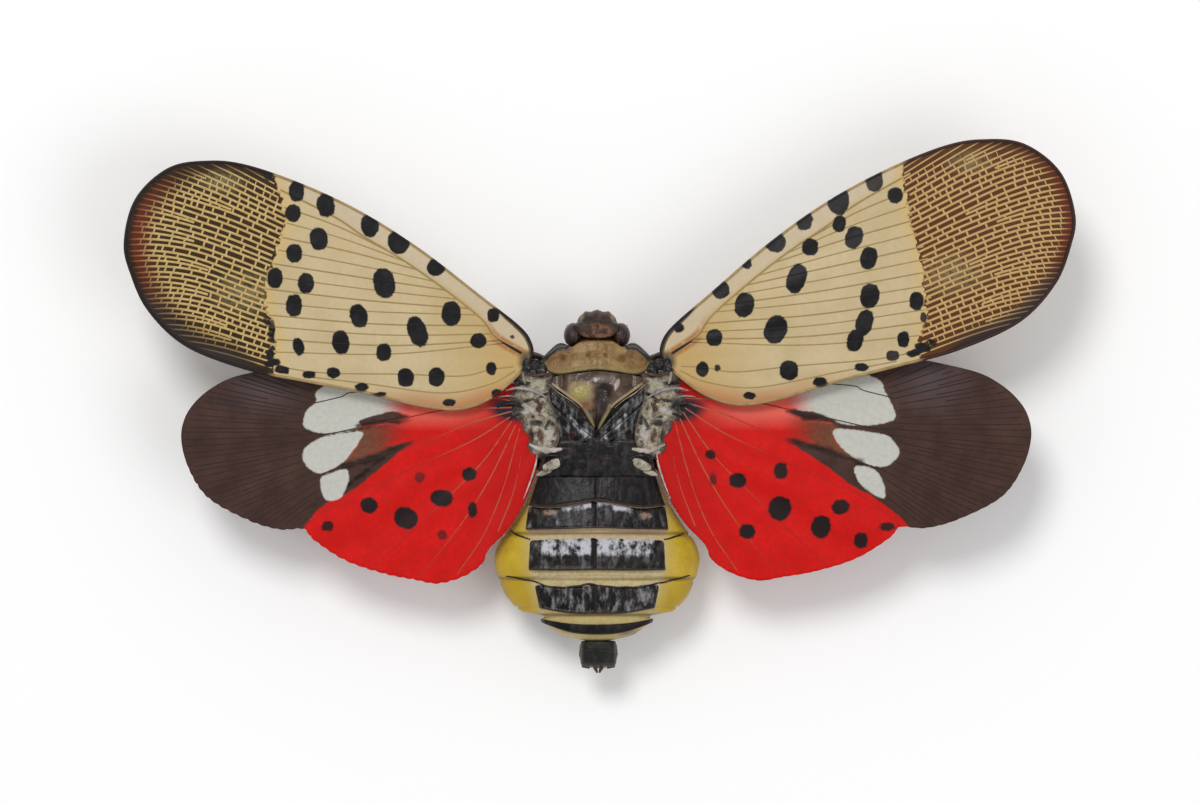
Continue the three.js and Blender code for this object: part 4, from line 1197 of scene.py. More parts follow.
def plate_paint():
    paint = Paint("black_plate", roughness=0.4, specular=0.18)
    fine = paint.noise(0.16, detail=4)
    streaks = paint.noise(0.5, detail=4, roughness=0.65, stretch=(1.6, 0.6, 1))
    blots = paint.noise(0.55, detail=3)
    base = paint.mix(blots.step(0.35, 0.7), "0c0a0b", "1f1b1c")
    base = paint.mix(paint.noise(0.8).step(0.55, 0.75) * 0.6, base, "34190f")
    grey = paint.mix(streaks.step(0.45, 0.75) * paint.field("grey"), base, "7c7b7b")
    patchy = (blots * 0.7 + streaks * 0.5 + fine * 0.25).step(0.6, 0.8)
    wax = (paint.field("wax") + (streaks - 0.5) * 1.2 + (blots - 0.5) * 0.9).step(0.1, 0.8) * patchy
    wax = paint.math("MAXIMUM", wax, paint.field("wax").ragged(fine, 0.5).step(1.2, 1.5))
    median = paint.field("median").ragged(fine, 0.1).step(0.1, 0.2)
    body = paint.mix(wax * median * 0.95, grey, "babcc2")
    body = paint.mix((1 - median) * 0.9, body, "0d0b0c")
    rear = paint.field("share").ragged(fine, 0.12).step(0.9, 0.97)
    body = paint.mix(rear * 0.8, body, "3b2a24")
    paint.colour(paint.mix((paint.field("glint") * (blots + fine)).step(0.45, 0.9) * 0.6, body, "a58c78"))
    paint.roughness(0.36 + wax * 0.3)
    paint.bump(fine * 0.5 + streaks * 0.5, 0.05, 0.7)
    return paint.material


# Dark creases across the skin as lines with their radius, the longest before the fourth plate
SEAM_LINES = [
    ([(4.7, 8.72), (3.4, 8.95), (2.4, 9.26), (1.3, 9.26), (.4, 9.12), (-.4, 9.24), (-1.9, 9.28), (-3.3, 9.05),
      (-4.8, 8.7)], 0.06),
    ([(4.5, 6.36), (4.1, 6.6), (3.45, 6.8)], 0.05),
    ([(-4.5, 6.5), (-4.1, 6.66), (-3.45, 6.82)], 0.05),
]


def make_seams(paint):
    runs = []
    for line, radius in SEAM_LINES:
        x, y = smooth_path(line, 90).T
        wobble = 0.015 * np.sin(x * 7 + y * 5)
        thin = radius * (0.5 + 0.5 * np.sin(np.linspace(0.15, math.pi - 0.15, len(x))))
        runs.append(np.column_stack([x, y + wobble, trunk_top(x, y) + 0.01, thin]))
    finish_piece(tubes("abdomen_dark_lines", runs), paint, ("abdomen_1",))


PRONOTUM_FRONT = [(0, -3.42), (.8, -3.38), (1.3, -3.1), (1.75, -3.28), (2.05, -3.24), (2.45, -2.9),
                  (2.84, -2.5)]
PRONOTUM_REAR = [(0, -1.94), (1.0, -1.84), (1.85, -1.72), (2.35, -1.8), (2.7, -2.05), (2.86, -2.46)]


def make_pronotum(paint):
    def height(x, y, u, v):
        out = np.abs(x)
        keel = 0.05 * hill(x, 0.05) * unit(1 - np.abs(v - 0.45) / 0.5)
        pits = sum(0.08 * np.exp(-(((out - px) / 0.14) ** 2 + ((y - py) / 0.12) ** 2))
                   for px, py in ((0.42, -2.75), (1.35, -2.62), (1.75, -2.52)))
        wave = 0.06 * hill(y + 2.72 - 0.12 * out, 0.16) * (out < 2.4)
        lip = 0.07 * hill(v - 0.93, 0.07)
        roll = 0.3 * unit((v - 0.94) / 0.06) ** 2 + 0.16 * unit(1 - v / 0.06) ** 2
        rib = 0.08 * hill(v - 0.16, 0.06) * unit((out - 1.3) / 0.5)
        dents = 0.035 * rough(x, y, 0.45, 2.0)
        corner = 0.45 * ease((out - 2.35) / 0.5) * ease((-y - 2.0) / 0.5)
        roof = RIDGE(y) - 0.1 - 0.65 * (out / 2.88) ** 2
        return roof + keel - pits - wave + lip - roll + rib + dents - corner

    piece = strip_sheet("pronotum_shield", mirrored(PRONOTUM_FRONT), mirrored(PRONOTUM_REAR), 240, 80,
                        height, SHIELD_THICKNESS)
    x, y, _ = points_of(piece).T
    out = np.abs(x)
    front = np.interp(out, *np.array(PRONOTUM_FRONT).T)
    rim = unit(1 - (y - front) / 0.42) * unit((out - 1.35) / 0.3)
    spots = sum(np.exp(-(((x - px) / r) ** 2 + ((y - py) / (r * 0.8)) ** 2))
                for px, py, r in ((1.75, -2.6, .3), (-1.25, -2.5, .3), (1.4, -2.95, .2), (-1.7, -2.8, .25),
                                  (.45, -2.7, .16), (-.45, -2.68, .16)))
    rear = np.interp(out, *np.array(PRONOTUM_REAR).T)
    behind = unit(1 - (rear - y) / (0.5 - 0.06 * out))
    keep_fields(piece, rim=rim, behind=behind, stain=unit(spots), median=out)
    finish_piece(piece, paint, ("pronotum",))


def pronotum_paint():
    paint = Paint("pronotum_wax", roughness=0.38, specular=0.3)
    fine = paint.noise(0.14, detail=4)
    soft = paint.noise(0.7, detail=4)
    base = paint.mix(soft.step(0.3, 0.7), "947548", "6f5532")
    base = paint.mix(fine.step(0.5, 0.8) * 0.6, base, "b0955f")
    base = paint.mix(paint.noise(0.3).step(0.56, 0.7) * 0.5, base, "5a3a1a")
    base = paint.mix(paint.field("median").step(1.2, 2.4) * 0.5, base, "6f4d27")
    base = paint.mix(paint.field("behind").ragged(soft, 0.5).step(0.2, 0.6) * 0.55, base, "86794a")
    stain = paint.field("stain").ragged(fine, 0.5).step(0.25, 0.8)
    base = paint.mix(stain * 0.75, base, "5f3f1c")
    base = paint.mix((1 - paint.field("median").step(0.01, 0.05)) * 0.6, base, "6b4a2c")
    rim = (paint.field("rim") + (fine - 0.5) * 0.2)
    stripes = paint.math("PINGPONG", rim, 0.25).step(0.05, 0.16)
    edge = paint.mix(stripes, "1f1e1d", "4f4c45")
    paint.colour(paint.mix(rim.step(0.2, 0.3), base, edge))
    paint.bump(fine * 0.4 + soft * 0.6, 0.06, 0.8)
    return paint.material


MESONOTUM_FRONT = [(0, -1.86), (1.0, -1.76), (1.85, -1.66), (2.3, -1.52), (2.46, -1.3)]
MESONOTUM_REAR = [(0, 1.22), (.1, 1.12), (.36, .7), (.74, .06), (1.0, -.2), (1.9, -.84), (2.46, -1.24)]
# Middle line of its hollow as (back, across, half width)
HOLLOW_LINE = [(-1.25, -.35, .1), (-1.0, -.33, .27), (-.5, -.3, .3), (.1, -.2, .24), (.6, -.03, .13),
               (1.15, .04, .05)]


def hollow_depth(x, y):
    """How far inside the hollow each point lies, from 1 at its middle to below 0 outside."""
    back, across, half = np.array(HOLLOW_LINE).T
    return 1 - np.abs(x - np.interp(y, back, across)) / np.interp(y, back, half, left=0.01, right=0.01)


def make_mesonotum(paint):
    def height(x, y, u, v):
        out = np.abs(x)
        lobe = 0.13 * np.exp(-(((x - .84) / .7) ** 2 + ((y + .82) / .55) ** 2))
        crest = 0.1 * np.exp(-(((x + .2) / .6) ** 2 + ((y + 1.5) / .3) ** 2))
        ridge = 0.1 * hill(x + 1.0, .3) * ease((-.3 - y) / .5)
        hollow = 0.28 * ease((hollow_depth(x, y) + 1.5) / 2.3) * ease((y + 1.35) / 0.5)
        side = 0.1 * hill(out - 1.8, .16) * ease((-.8 - y) / .3)
        roll = 0.2 * unit((v - 0.96) / 0.04) ** 2
        dents = 0.025 * rough(x, y, 0.5, 1.0)
        return RIDGE(y) - 0.1 - 0.42 * (out / 2.4) ** 2 + lobe + crest + ridge - hollow - side - roll + dents

    piece = strip_sheet("mesonotum_shield", mirrored(MESONOTUM_FRONT), mirrored(MESONOTUM_REAR), 200, 130,
                        height, SHIELD_THICKNESS)
    x, y, _ = points_of(piece).T
    uneven = 0.12 * rough(x, y, 0.4, 5.0)
    patch = 1 - (np.abs((x - .84) / .66) ** 2.6 + np.abs((y + .82) / .53) ** 2.6) ** (1 / 2.6)
    warm = 1.1 - np.hypot((x - .6) / .55, (y + .12) / .3)
    tail = 1 - distance_to_line(x, y, np.array([(.62, .12), (.45, .45), (.24, .95)])) / .16
    tail = np.maximum(tail, 1 - distance_to_line(x, y, np.array([(-.66, -.1), (-.5, .3), (-.1, 1.0)])) / .12)
    shine = 1 - np.hypot((x + .25) / .65, (y + 1.5) / .26)
    glint = 1 - np.hypot((x + 1.03 - .3 * (y + 1.2)) / .18, (y + 1.2) / .42)
    glint = np.maximum(glint, 1 - np.hypot((x - .08) / .16, (y + 1.42) / .18))
    rear = np.interp(np.abs(x), *np.array(MESONOTUM_REAR).T)
    border = np.where(np.abs(x) > .74, rear - y, 1.0)
    keep_fields(piece, 3, patch=patch + uneven, warm=warm + uneven, tail=tail, shine=shine, glint=glint,
                hollow=hollow_depth(x, y) + uneven, from_rear=border)
    finish_piece(piece, paint, ("mesonotum",))


def mesonotum_paint():
    paint = Paint("mesonotum_wax", roughness=0.26, specular=0.35, coat=0.1)
    fine = paint.noise(0.12, detail=4)
    soft = paint.noise(0.5, detail=4)
    base = paint.mix(soft.step(0.3, 0.7), "54402f", "30241e")
    base = paint.mix(paint.field("tail").ragged(fine, 0.5).step(0.0, 0.5) * 0.7, base, "847a55")
    base = paint.mix(paint.field("warm").step(0.0, 0.5) * soft.step(0.2, 0.5) * 0.8, base, "7c5234")
    rim = (paint.field("patch") + (soft - 0.5) * 0.3)
    base = paint.mix(rim.step(-0.25, 0.15) * 0.8, base, "8d7855")
    base = paint.mix(rim.step(0.1, 0.6) * 0.9, base, "938a49")
    base = paint.mix(paint.field("shine").ragged(soft, 0.5).step(0.0, 0.7) * 0.6, base, "746e6c")
    base = paint.mix(paint.field("glint").ragged(fine, 0.5).step(0.1, 0.6) * 0.7, base, "b9a9a0")
    # The hollow is painted near black: partly its own dark red-brown, partly painted shade from the ridge at
    # its side.
    base = paint.mix(paint.field("hollow").ragged(soft, 0.4).step(-0.8, 0.75) * 0.92, base, "1d0e0b")
    rear = paint.field("from_rear")
    border = rear.step(0.0, 0.03) * (1 - rear.step(0.12, 0.2)) * fine.step(0.2, 0.35)
    paint.colour(paint.mix(border * 0.75, base, "a48d68"))
    paint.roughness(0.25 + fine * 0.15)
    paint.bump(fine * 0.6 + soft * 0.4, 0.04, 0.7)
    return paint.material


# Dark plates behind the shields: outlines of the left one as (front line, rear line), lift and crown
REAR_PLATES = [
    ("collar", [(2.5, -1.32), (1.75, -.55), (.95, .3), (.1, 1.15)],
     [(2.75, -.75), (1.95, .1), (1.15, .8), (.12, 1.55)], 0.12, 0.10),
    ("flank", [(2.75, -.7), (2.2, -.05), (1.3, .72), (.14, 1.6)],
     [(2.3, 2.1), (1.6, 2.05), (.8, 2.15), (.1, 2.2)], 0.05, 0.16),
]
WAX_STREAK = [(1.45, .48), (.95, .98), (.5, 1.5)]
METANOTUM_FRONT = [(0, 1.8), (1.2, 1.8), (2.45, 1.9)]
METANOTUM_REAR = [(0, 3.56), (1.6, 3.5), (2.95, 3.6)]


def arched(v):
    return np.sin(math.pi * np.clip(v, 0.02, 0.98)) ** 0.5


def finish_rear_plate(piece, paint, wax, grey):
    keep_fields(piece, wax=wax, grey=grey, share=0, median=3)
    finish_piece(piece, paint, ("metathorax",))


def make_rear_plates(paint):
    for name, front, rear, lift, crown in REAR_PLATES:
        for side, sign in SIDES.items():
            def height(x, y, u, v):
                fold = 0.07 * hill(v - 0.45 - 0.1 * u, 0.08)
                return body_roof(x, y) - 0.32 + lift + crown * arched(v) + fold + 0.03 * rough(x, y, 0.5, 7.0)

            lines = [np.array(line) * [sign, 1] for line in (front, rear)]
            piece = strip_sheet(f"{name}_{side}", *lines, 90, 60, height)
            x, y, _ = points_of(piece).T
            streak = 0.26 - distance_to_line(x * sign, y, np.array(WAX_STREAK))
            finish_rear_plate(piece, paint, np.clip(streak * 3, 0, 0.5) - 0.1, 0.9)

    def metanotum_height(x, y, u, v):
        return trunk_top(x, y) + 0.02 + 0.12 * arched(v) + 0.05 * rough(x, y, 0.8, 9.0)

    piece = strip_sheet("metanotum_plate", mirrored(METANOTUM_FRONT), mirrored(METANOTUM_REAR), 140, 60,
                        metanotum_height)
    finish_rear_plate(piece, paint, -0.5, 0.12)


# Patches of the creased membrane between the thorax and the wings, on the left: centre, half width, half
# length, lean in degrees, tint, and rise
BASE_PATCHES = [
    (3.05, -1.1, .55, .36, -10, "pale", .08), (2.32, .05, .2, .7, 12, "pale", .06),
    (3.1, -.35, .2, .12, 40, "brown", .05), (3.0, -.02, .12, .3, -20, "brown", .07),
    (3.55, .18, .4, .22, 10, "white", .06), (3.15, .8, .35, .17, -5, "dark", -.06),
    (3.85, .9, .22, .12, 15, "white", .08), (2.92, 1.45, .15, .38, 8, "brown", .06),
    (3.38, 1.45, .11, .42, 6, "dark", -.04), (2.45, 1.45, .34, .5, -6, "white", .07),
    (2.3, 1.75, .1, .05, 30, "dark", 0), (2.62, 1.12, .12, .04, -20, "dark", 0),
    (2.85, 2.3, .6, .3, -12, "white", .08), (2.75, -.62, .35, .09, 24, "dark", -.05),
    # The dark patch at (3.95, -1.28), behind the forewing's rear edge, is a painted shadow of that edge.
    (3.95, -1.28, .5, .12, -12, "dark", -.06), (3.6, -.35, .35, .1, 15, "dark", -.03),
    (4.15, -.1, .4, .42, 0, "dark", .03), (3.3, .48, .12, .08, 0, "dark", -.03),
    (2.55, .85, .1, .3, -25, "dark", -.02), (2.4, -1.35, .25, .12, 10, "brown", .04),
]
# Small hard parts on it: name, centre, radii, turn in degrees about the vertical, material
BASE_LUMPS = [
    ("hinge_knob", (3.62, -2.2, 5.16), (.3, .4, .24), 14, "dark"),
    ("hinge_knob_inner", (3.22, -2.2, 4.98), (.36, .3, .2), 12, "dark"),
    ("hinge_bridge", (2.95, -1.68, 5.02), (.5, .09, .09), 8, "brown"),
    ("side_lobe", (2.26, 2.94, 4.8), (.58, .25, .13), 26, "speckled"),
    ("side_lobe_rear", (2.72, 3.36, 4.6), (.42, .14, .1), 16, "speckled"),
    ("tegula", (2.9, -1.97, 4.86), (.32, .4, .24), 0, "dark"),
]
# Struts and folds on it, with one pale tube that is a painted highlight and one dark tube that is a painted
# shadow: name, line, radius, material
BASE_STRUTS = [
    ("hinge_strut", [(3.86, -1.95, 5.2), (3.8, -1.6, 5.12), (3.7, -1.2, 5.02)], .1, "cream"),
    ("lilac_strut", [(4.7, -.88, 5.02), (4.2, -1.0, 5.08), (3.6, -.95, 5.1), (3.1, -.78, 5.08),
                     (2.6, -.52, 5.04)], .1, "lilac"),
    # The pale rib at the hindwing's front edge is a painted highlight line, as a tube.
    ("highlight_rib", [(5.1, -.55, 4.85), (4.6, -.6, 4.9), (4.2, -.56, 4.92)], .05, "lilac"),
    # The dark strut behind the forewing's rear edge is a painted shadow of that edge, as a tube.
    ("shadow_strut", [(4.4, -1.22, 4.95), (3.9, -1.3, 5.0), (3.4, -1.28, 5.0)], .07, "dark"),
    ("fork_front", [(3.35, -.48, 5.02), (3.05, -.3, 5.04), (2.9, .02, 5.02), (3.0, .3, 4.98)], .06, "brown"),
    ("fork_rear", [(2.75, -.35, 5.02), (2.88, -.1, 5.02), (3.15, .1, 5.0)], .045, "brown"),
    ("fold_strut", [(3.75, .5, 4.86), (3.4, .32, 4.94), (3.0, .5, 4.94), (2.7, .85, 4.94)], .045, "cream"),
    ("rear_fold", [(3.0, 1.02, 4.9), (2.7, 1.35, 4.96), (2.6, 1.9, 4.92)], .05, "cream"),
    ("blue_ridge", [(5.15, .02, 4.72), (4.6, -.2, 4.82), (4.1, -.15, 4.88), (3.8, .05, 4.9)], .09, "blue"),
    ("blue_ridge_rear", [(4.5, .62, 4.72), (4.15, .4, 4.8), (3.85, .3, 4.86)], .07, "blue"),
    ("collar_line", [(2.5, -1.22, 5.02), (1.95, -.74, 5.2), (1.35, -.36, 5.28), (.9, .02, 5.3)],
     .03, "cream"),
    ("rear_bridge", [(3.5, 1.9, 4.86), (2.95, 2.15, 4.96), (2.4, 2.2, 4.98), (1.8, 2.14, 5.0)], .2, "white"),
    ("lobe_band", [(3.1, 2.66, 4.8), (2.6, 2.5, 4.92), (2.1, 2.48, 4.96), (1.6, 2.66, 4.96)], .09, "dark"),
    ("inner_margin", [(3.1, 1.9, 4.7), (3.12, 2.7, 4.74), (3.4, 3.7, 4.8), (3.78, 4.7, 4.88)], .06, "white"),
]


# Its edges at the thorax and at the wings
BASE_INNER = [(2.3, -1.75), (2.42, -.6), (2.12, .5), (1.95, 1.3), (2.02, 1.9), (2.45, 2.45)]
BASE_OUTER = [(4.0, -1.95), (4.3, -1.3), (4.22, -.95), (4.55, -.55), (4.28, -.1), (4.4, .35), (3.9, .75),
              (3.82, 1.15), (3.46, 1.55), (3.56, 2.0), (3.25, 2.7)]
# The struts are thinned and sunk by these shares of their radius
STRUT_THINNED = 0.8
STRUT_SUNK = 0.4


def base_patch_fields(x, y):
    """For each tint, how far inside its patches each point lies; and the rise of all patches."""
    depth = {tint: np.full(len(x), -1.0) for tint in ("pale", "white", "brown", "dark")}
    rise = np.zeros(len(x))
    for cx, cy, wide, long, lean, tint, lift in BASE_PATCHES:
        across, along = turned(x, y, cx, cy, lean)
        inside = 1 - np.hypot(across / wide, along / long)
        depth[tint] = np.maximum(depth[tint], inside)
        rise += lift * ease((inside + 0.2) / 0.7)
    return depth, rise


def make_base_membrane(side, sign, paint):
    """A creased sheet that joins the thorax to both wings."""
    def height(x, y, u, v):
        out = np.abs(x)
        _, rise = base_patch_fields(out, y)
        folds = 0.13 * rough(out, y, 0.4, 3.0 + sign) + 0.04 * np.sin(out * 11 + 5 * np.sin(y * 2.1))
        edge = unit(np.minimum(v, 1 - v) / 0.1) * unit(np.minimum(u, 1 - u) / 0.14)
        dive = 0.4 * unit(1 - np.minimum(u, 1 - u) / 0.12) ** 2
        return 4.98 - 0.3 * v + rise * edge + folds * edge - dive

    inner, outer = (np.array(line) * [sign, 1] for line in (BASE_INNER, BASE_OUTER))
    piece = strip_sheet(f"base_membrane_{side}", inner, outer, 130, 90, height)
    x, y, _ = points_of(piece).T
    depth, _ = base_patch_fields(np.abs(x), y)
    uneven = 0.35 * rough(np.abs(x), y, 0.25, 8.0 + sign)
    keep_fields(piece, 1, **{tint: values + uneven for tint, values in depth.items()})
    ring = np.vstack([smooth_path(inner, 40), smooth_path(outer, 40)[::-1]])
    from_edge = distance_to_line(x, y, ring, closed=True)
    keep_fields(piece, from_edge=unit(from_edge + 0.5 * uneven))
    finish_piece(piece, paint, (f"wing_root_{side}",))


def base_membrane_paint():
    paint = Paint("creased_membrane", roughness=0.45, specular=0.25)
    fine = paint.noise(0.08, detail=4)
    soft = paint.noise(0.3, detail=4)
    base = paint.mix(soft.step(0.34, 0.66), "b2a994", "7b7164")
    base = paint.mix(paint.field("pale").ragged(soft).step(-0.2, 0.45) * 0.85, base, "a5a28d")
    base = paint.mix(paint.field("white").ragged(soft).step(-0.15, 0.45) * 0.85, base, "b6aea8")
    base = paint.mix(paint.noise(0.2, detail=3).step(0.5, 0.75) * 0.5, base, "4a3f38")
    base = paint.mix(paint.field("brown").ragged(fine, 0.6).step(-0.25, 0.3) * 0.85, base, "53372a")
    base = paint.mix(paint.field("dark").ragged(fine, 0.8).step(-0.35, 0.45) * 0.9, base, "1d1f20")
    base = paint.mix(fine.step(0.6, 0.78) * 0.4, base, "c4bcb2")
    # Darker towards its edges, where it meets the thorax and the wings: painted shade.
    base = paint.mix((1 - paint.field("from_edge").step(0.05, 0.4)) * 0.85, base, "3d2c28")
    paint.colour(base)
    paint.roughness(0.35 + fine * 0.2)
    paint.bump(fine * 0.5 + soft * 0.5, 0.07, 0.9)
    return paint.material


def make_wing_bases(paints):
    for side, sign in SIDES.items():
        make_base_membrane(side, sign, paints["membrane"])
        for name, centre, radii, turn, colour in BASE_LUMPS:
            spin = math.radians(turn)

            def place(angle, share):
                across = np.sin(share * math.pi) * np.cos(angle)
                along = np.sin(share * math.pi) * np.sin(angle)
                rise = np.cos(share * math.pi)
                swell = 1 + 0.15 * rough(across * 0.5, along * 0.5 + rise * 0.3, 0.45, sum(centre))
                a, b = radii[0] * across * swell, radii[1] * along * swell
                x = centre[0] + a * math.cos(spin) - b * math.sin(spin)
                y = centre[1] + a * math.sin(spin) + b * math.cos(spin)
                return np.column_stack([sign * x, y, centre[2] + radii[2] * rise * swell])
            piece = shaped_ball(f"{name}_{side}", 44, 28, place)
            node = f"tegula_{side}" if name == "tegula" else f"wing_root_{side}"
            finish_piece(piece, paints[colour], (node,))
        for name, line, radius, colour in BASE_STRUTS:
            path = smooth_path(line, 40)
            thin = STRUT_THINNED * radius * (0.3 + 0.7 * np.sin(np.linspace(0.1, math.pi - 0.1, len(path))))
            thin *= 1 + 0.35 * rough(path[:, 0], path[:, 1], 0.25, radius)
            path[:, 2] -= STRUT_SUNK * radius
            run = np.column_stack([path * [sign, 1, 1], thin])
            piece = tubes(f"{name}_{side}", [run], sides=3)
            finish_piece(piece, paints[colour], (f"wing_root_{side}",))


def mottled_paint(name, light, dark, patches, roughness=0.45, size=0.3):
    """A waxy or chitinous surface in two near colours, with darker patches."""
    paint = Paint(name, roughness=roughness, specular=0.28)
    fine = paint.noise(size * 0.5, detail=4)
    soft = paint.noise(size * 1.8, detail=3)
    base = paint.mix(soft.step(0.3, 0.7), light, dark)
    base = paint.mix((fine * 0.7 + soft * 0.6).step(0.68, 0.85) * 0.7, base, patches)
    paint.colour(base)
    paint.roughness(roughness - 0.1 + fine * 0.2)
    paint.bump(fine * 0.5 + soft * 0.5, 0.06, 0.8)
    return paint.material


# Head, as in the solids: height, face, back and half width of each section
HEAD_SECTIONS = [(1.6, -4.12, -3.72, .24), (1.95, -4.42, -3.56, .46), (2.4, -4.74, -3.54, .74),
                 (2.9, -4.96, -3.54, 1.02), (3.4, -5.06, -3.54, 1.24), (3.9, -5.05, -3.54, 1.32),
                 (4.25, -4.9, -3.54, 1.22), (4.5, -4.62, -3.58, .95), (4.62, -4.3, -3.7, .55)]
FACE = profile([(z, face) for z, face, _, _ in HEAD_SECTIONS])
HEAD_BACK = profile([(z, back) for z, _, back, _ in HEAD_SECTIONS])
HEAD_HALF = profile([(z, half) for z, _, _, half in HEAD_SECTIONS])
HEAD_ENDS = (1.58, 4.64)
EYE_CENTRE = (1.22, -3.74, 3.64)
EYE_RADII = (.5, .64, .7)
EYE_RIM_POINTS = 60
EYE_RIM_RADIUS = 0.06
# Feelers: a short stem, an orange bulb with pits, and a fine bristle
FEELER_STEM = [(.78, -3.85, 2.62, .15), (1.0, -3.87, 2.58, .17), (1.2, -3.9, 2.5, .15)]
FEELER_BRISTLE = [(1.36, -3.98, 2.3, .05), (1.45, -4.1, 2.1, .03), (1.55, -4.24, 1.88, .02),
                  (1.6, -4.3, 1.75, .012)]
BULB_CENTRE = (1.3, -3.9, 2.48)
BULB_RADII = (.29, .27, .29)
# Beak: its line, and its radius at marks along the body
BEAK_LINE = [(0, -4.0, 1.5), (0, -3.4, 1.28), (0, -2.2, 1.28), (0, 0, 1.18), (0, 1.68, 1.08)]
BEAK_THICK = ([-4, -3.3, -3.2, -1, -.9, 1.2, 1.68], [.2, .24, .19, .2, .17, .15, .08])


def make_head(paint):
    low, high = HEAD_ENDS

    def place(angle, share):
        run = 0.5 * share + 0.5 * (1 - np.cos(math.pi * share)) / 2
        z = high - (high - low) * run
        near_end = np.minimum(z - low, high - z)
        shut = np.sqrt(1 - (1 - unit(near_end / 0.16)) ** 2)
        cos, sin = np.cos(angle), np.sin(angle)
        middle = (FACE(z) + HEAD_BACK(z)) / 2
        deep = (HEAD_BACK(z) - FACE(z)) / 2 - 0.03
        half = HEAD_HALF(z) - 0.04
        x = half * np.sign(cos) * np.abs(cos) ** 0.8 * shut
        y = middle + deep * np.sign(sin) * np.abs(sin) ** 0.8 * shut
        out = np.abs(x)
        # The frons: a raised keel down each side and one in the middle, with hollows between
        front = unit(-sin)
        keels = hill(out - 0.62 * HEAD_HALF(z), 0.07) + 0.6 * hill(x, 0.05)
        hollows = hill(out - 0.33 * HEAD_HALF(z), 0.2)
        y = y + front * (-0.06 * keels + 0.07 * hollows) * (z < 4.4) * (z > 1.9)
        clypeus = hill(z - 2.32, 0.05)
        y = y + 0.08 * clypeus * front
        # The vertex between the eyes is sunk, with a rim in front
        top = ease((z - 4.25) / 0.3)
        z = z - 0.16 * top * np.exp(-((x / 0.45) ** 2 + ((y + 4.0) / 0.35) ** 2))
        z = z + 0.05 * top * hill(y + 4.45, 0.07)
        # Seen from above, the front of the head is a narrower cap
        x = x * (1 - 0.27 * ease((-4.25 - y) / 0.22) * ease((z - 2.9) / 0.8))
        return np.column_stack([x, y, z])

    piece = shaped_ball("head_capsule", 160, 130, place)
    x, y, z = points_of(piece).T
    vertex = np.clip(1.15 - np.hypot(x / .95, (y + 3.85) / .62), -1, 1) * (z > 4.0)
    cap = ease((-4.42 - y) / 0.12) * ease((z - 3.6) / 0.5)
    keel = np.exp(-((np.abs(x) - 0.62 * HEAD_HALF(z)) / 0.09) ** 2) * (y < -4.2) * (z < 4.3)
    lines = np.abs(np.abs(x) - 0.36 - 0.25 * (y + 4.0)) / 0.07
    pit = 1.1 - np.minimum(np.hypot(x / 0.17, (y + 4.05) / 0.3), lines + np.abs(y + 3.95) / 0.5)
    keep_fields(piece, vertex=vertex, cap=cap, keel=keel, pit=unit(pit) * (z > 4.0))
    finish_piece(piece, paint, ("head",))


def head_paint():
    paint = Paint("head_shell", roughness=0.4, specular=0.28)
    fine = paint.noise(0.1, detail=4)
    soft = paint.noise(0.4, detail=4)
    base = paint.mix(soft.step(0.3, 0.7), "211917", "3b2c26")
    vertex = paint.mix(soft.step(0.42, 0.58), "744e37", "3c241a")
    base = paint.mix(paint.field("vertex").ragged(soft, 0.5).step(0.1, 0.5), base, vertex)
    base = paint.mix(paint.field("pit") * (fine + 0.3), base, "1c1110")
    cap = paint.mix(soft.step(0.4, 0.6), "231917", "47302a")
    base = paint.mix(paint.field("cap"), base, cap)
    base = paint.mix(paint.field("keel") * 0.75, base, "94734f")
    base = paint.mix(fine.step(0.6, 0.75) * 0.4, base, "8d8078")
    paint.colour(base)
    paint.bump(fine * 0.5 + soft * 0.5, 0.06, 0.9)
    return paint.material


def eye_paint():
    paint = Paint("eye_facets", roughness=0.22, specular=0.35, coat=0.1)
    soft = paint.noise(0.5, detail=3)
    base = paint.mix(soft.step(0.3, 0.7), "120b0a", "2b1a15")
    facets = paint.cells(0.045)
    paint.colour(paint.mix(facets.step(0.25, 0.6) * 0.35, base, "433027"))
    paint.bump(1 - facets, 0.02, 0.8)
    return paint.material


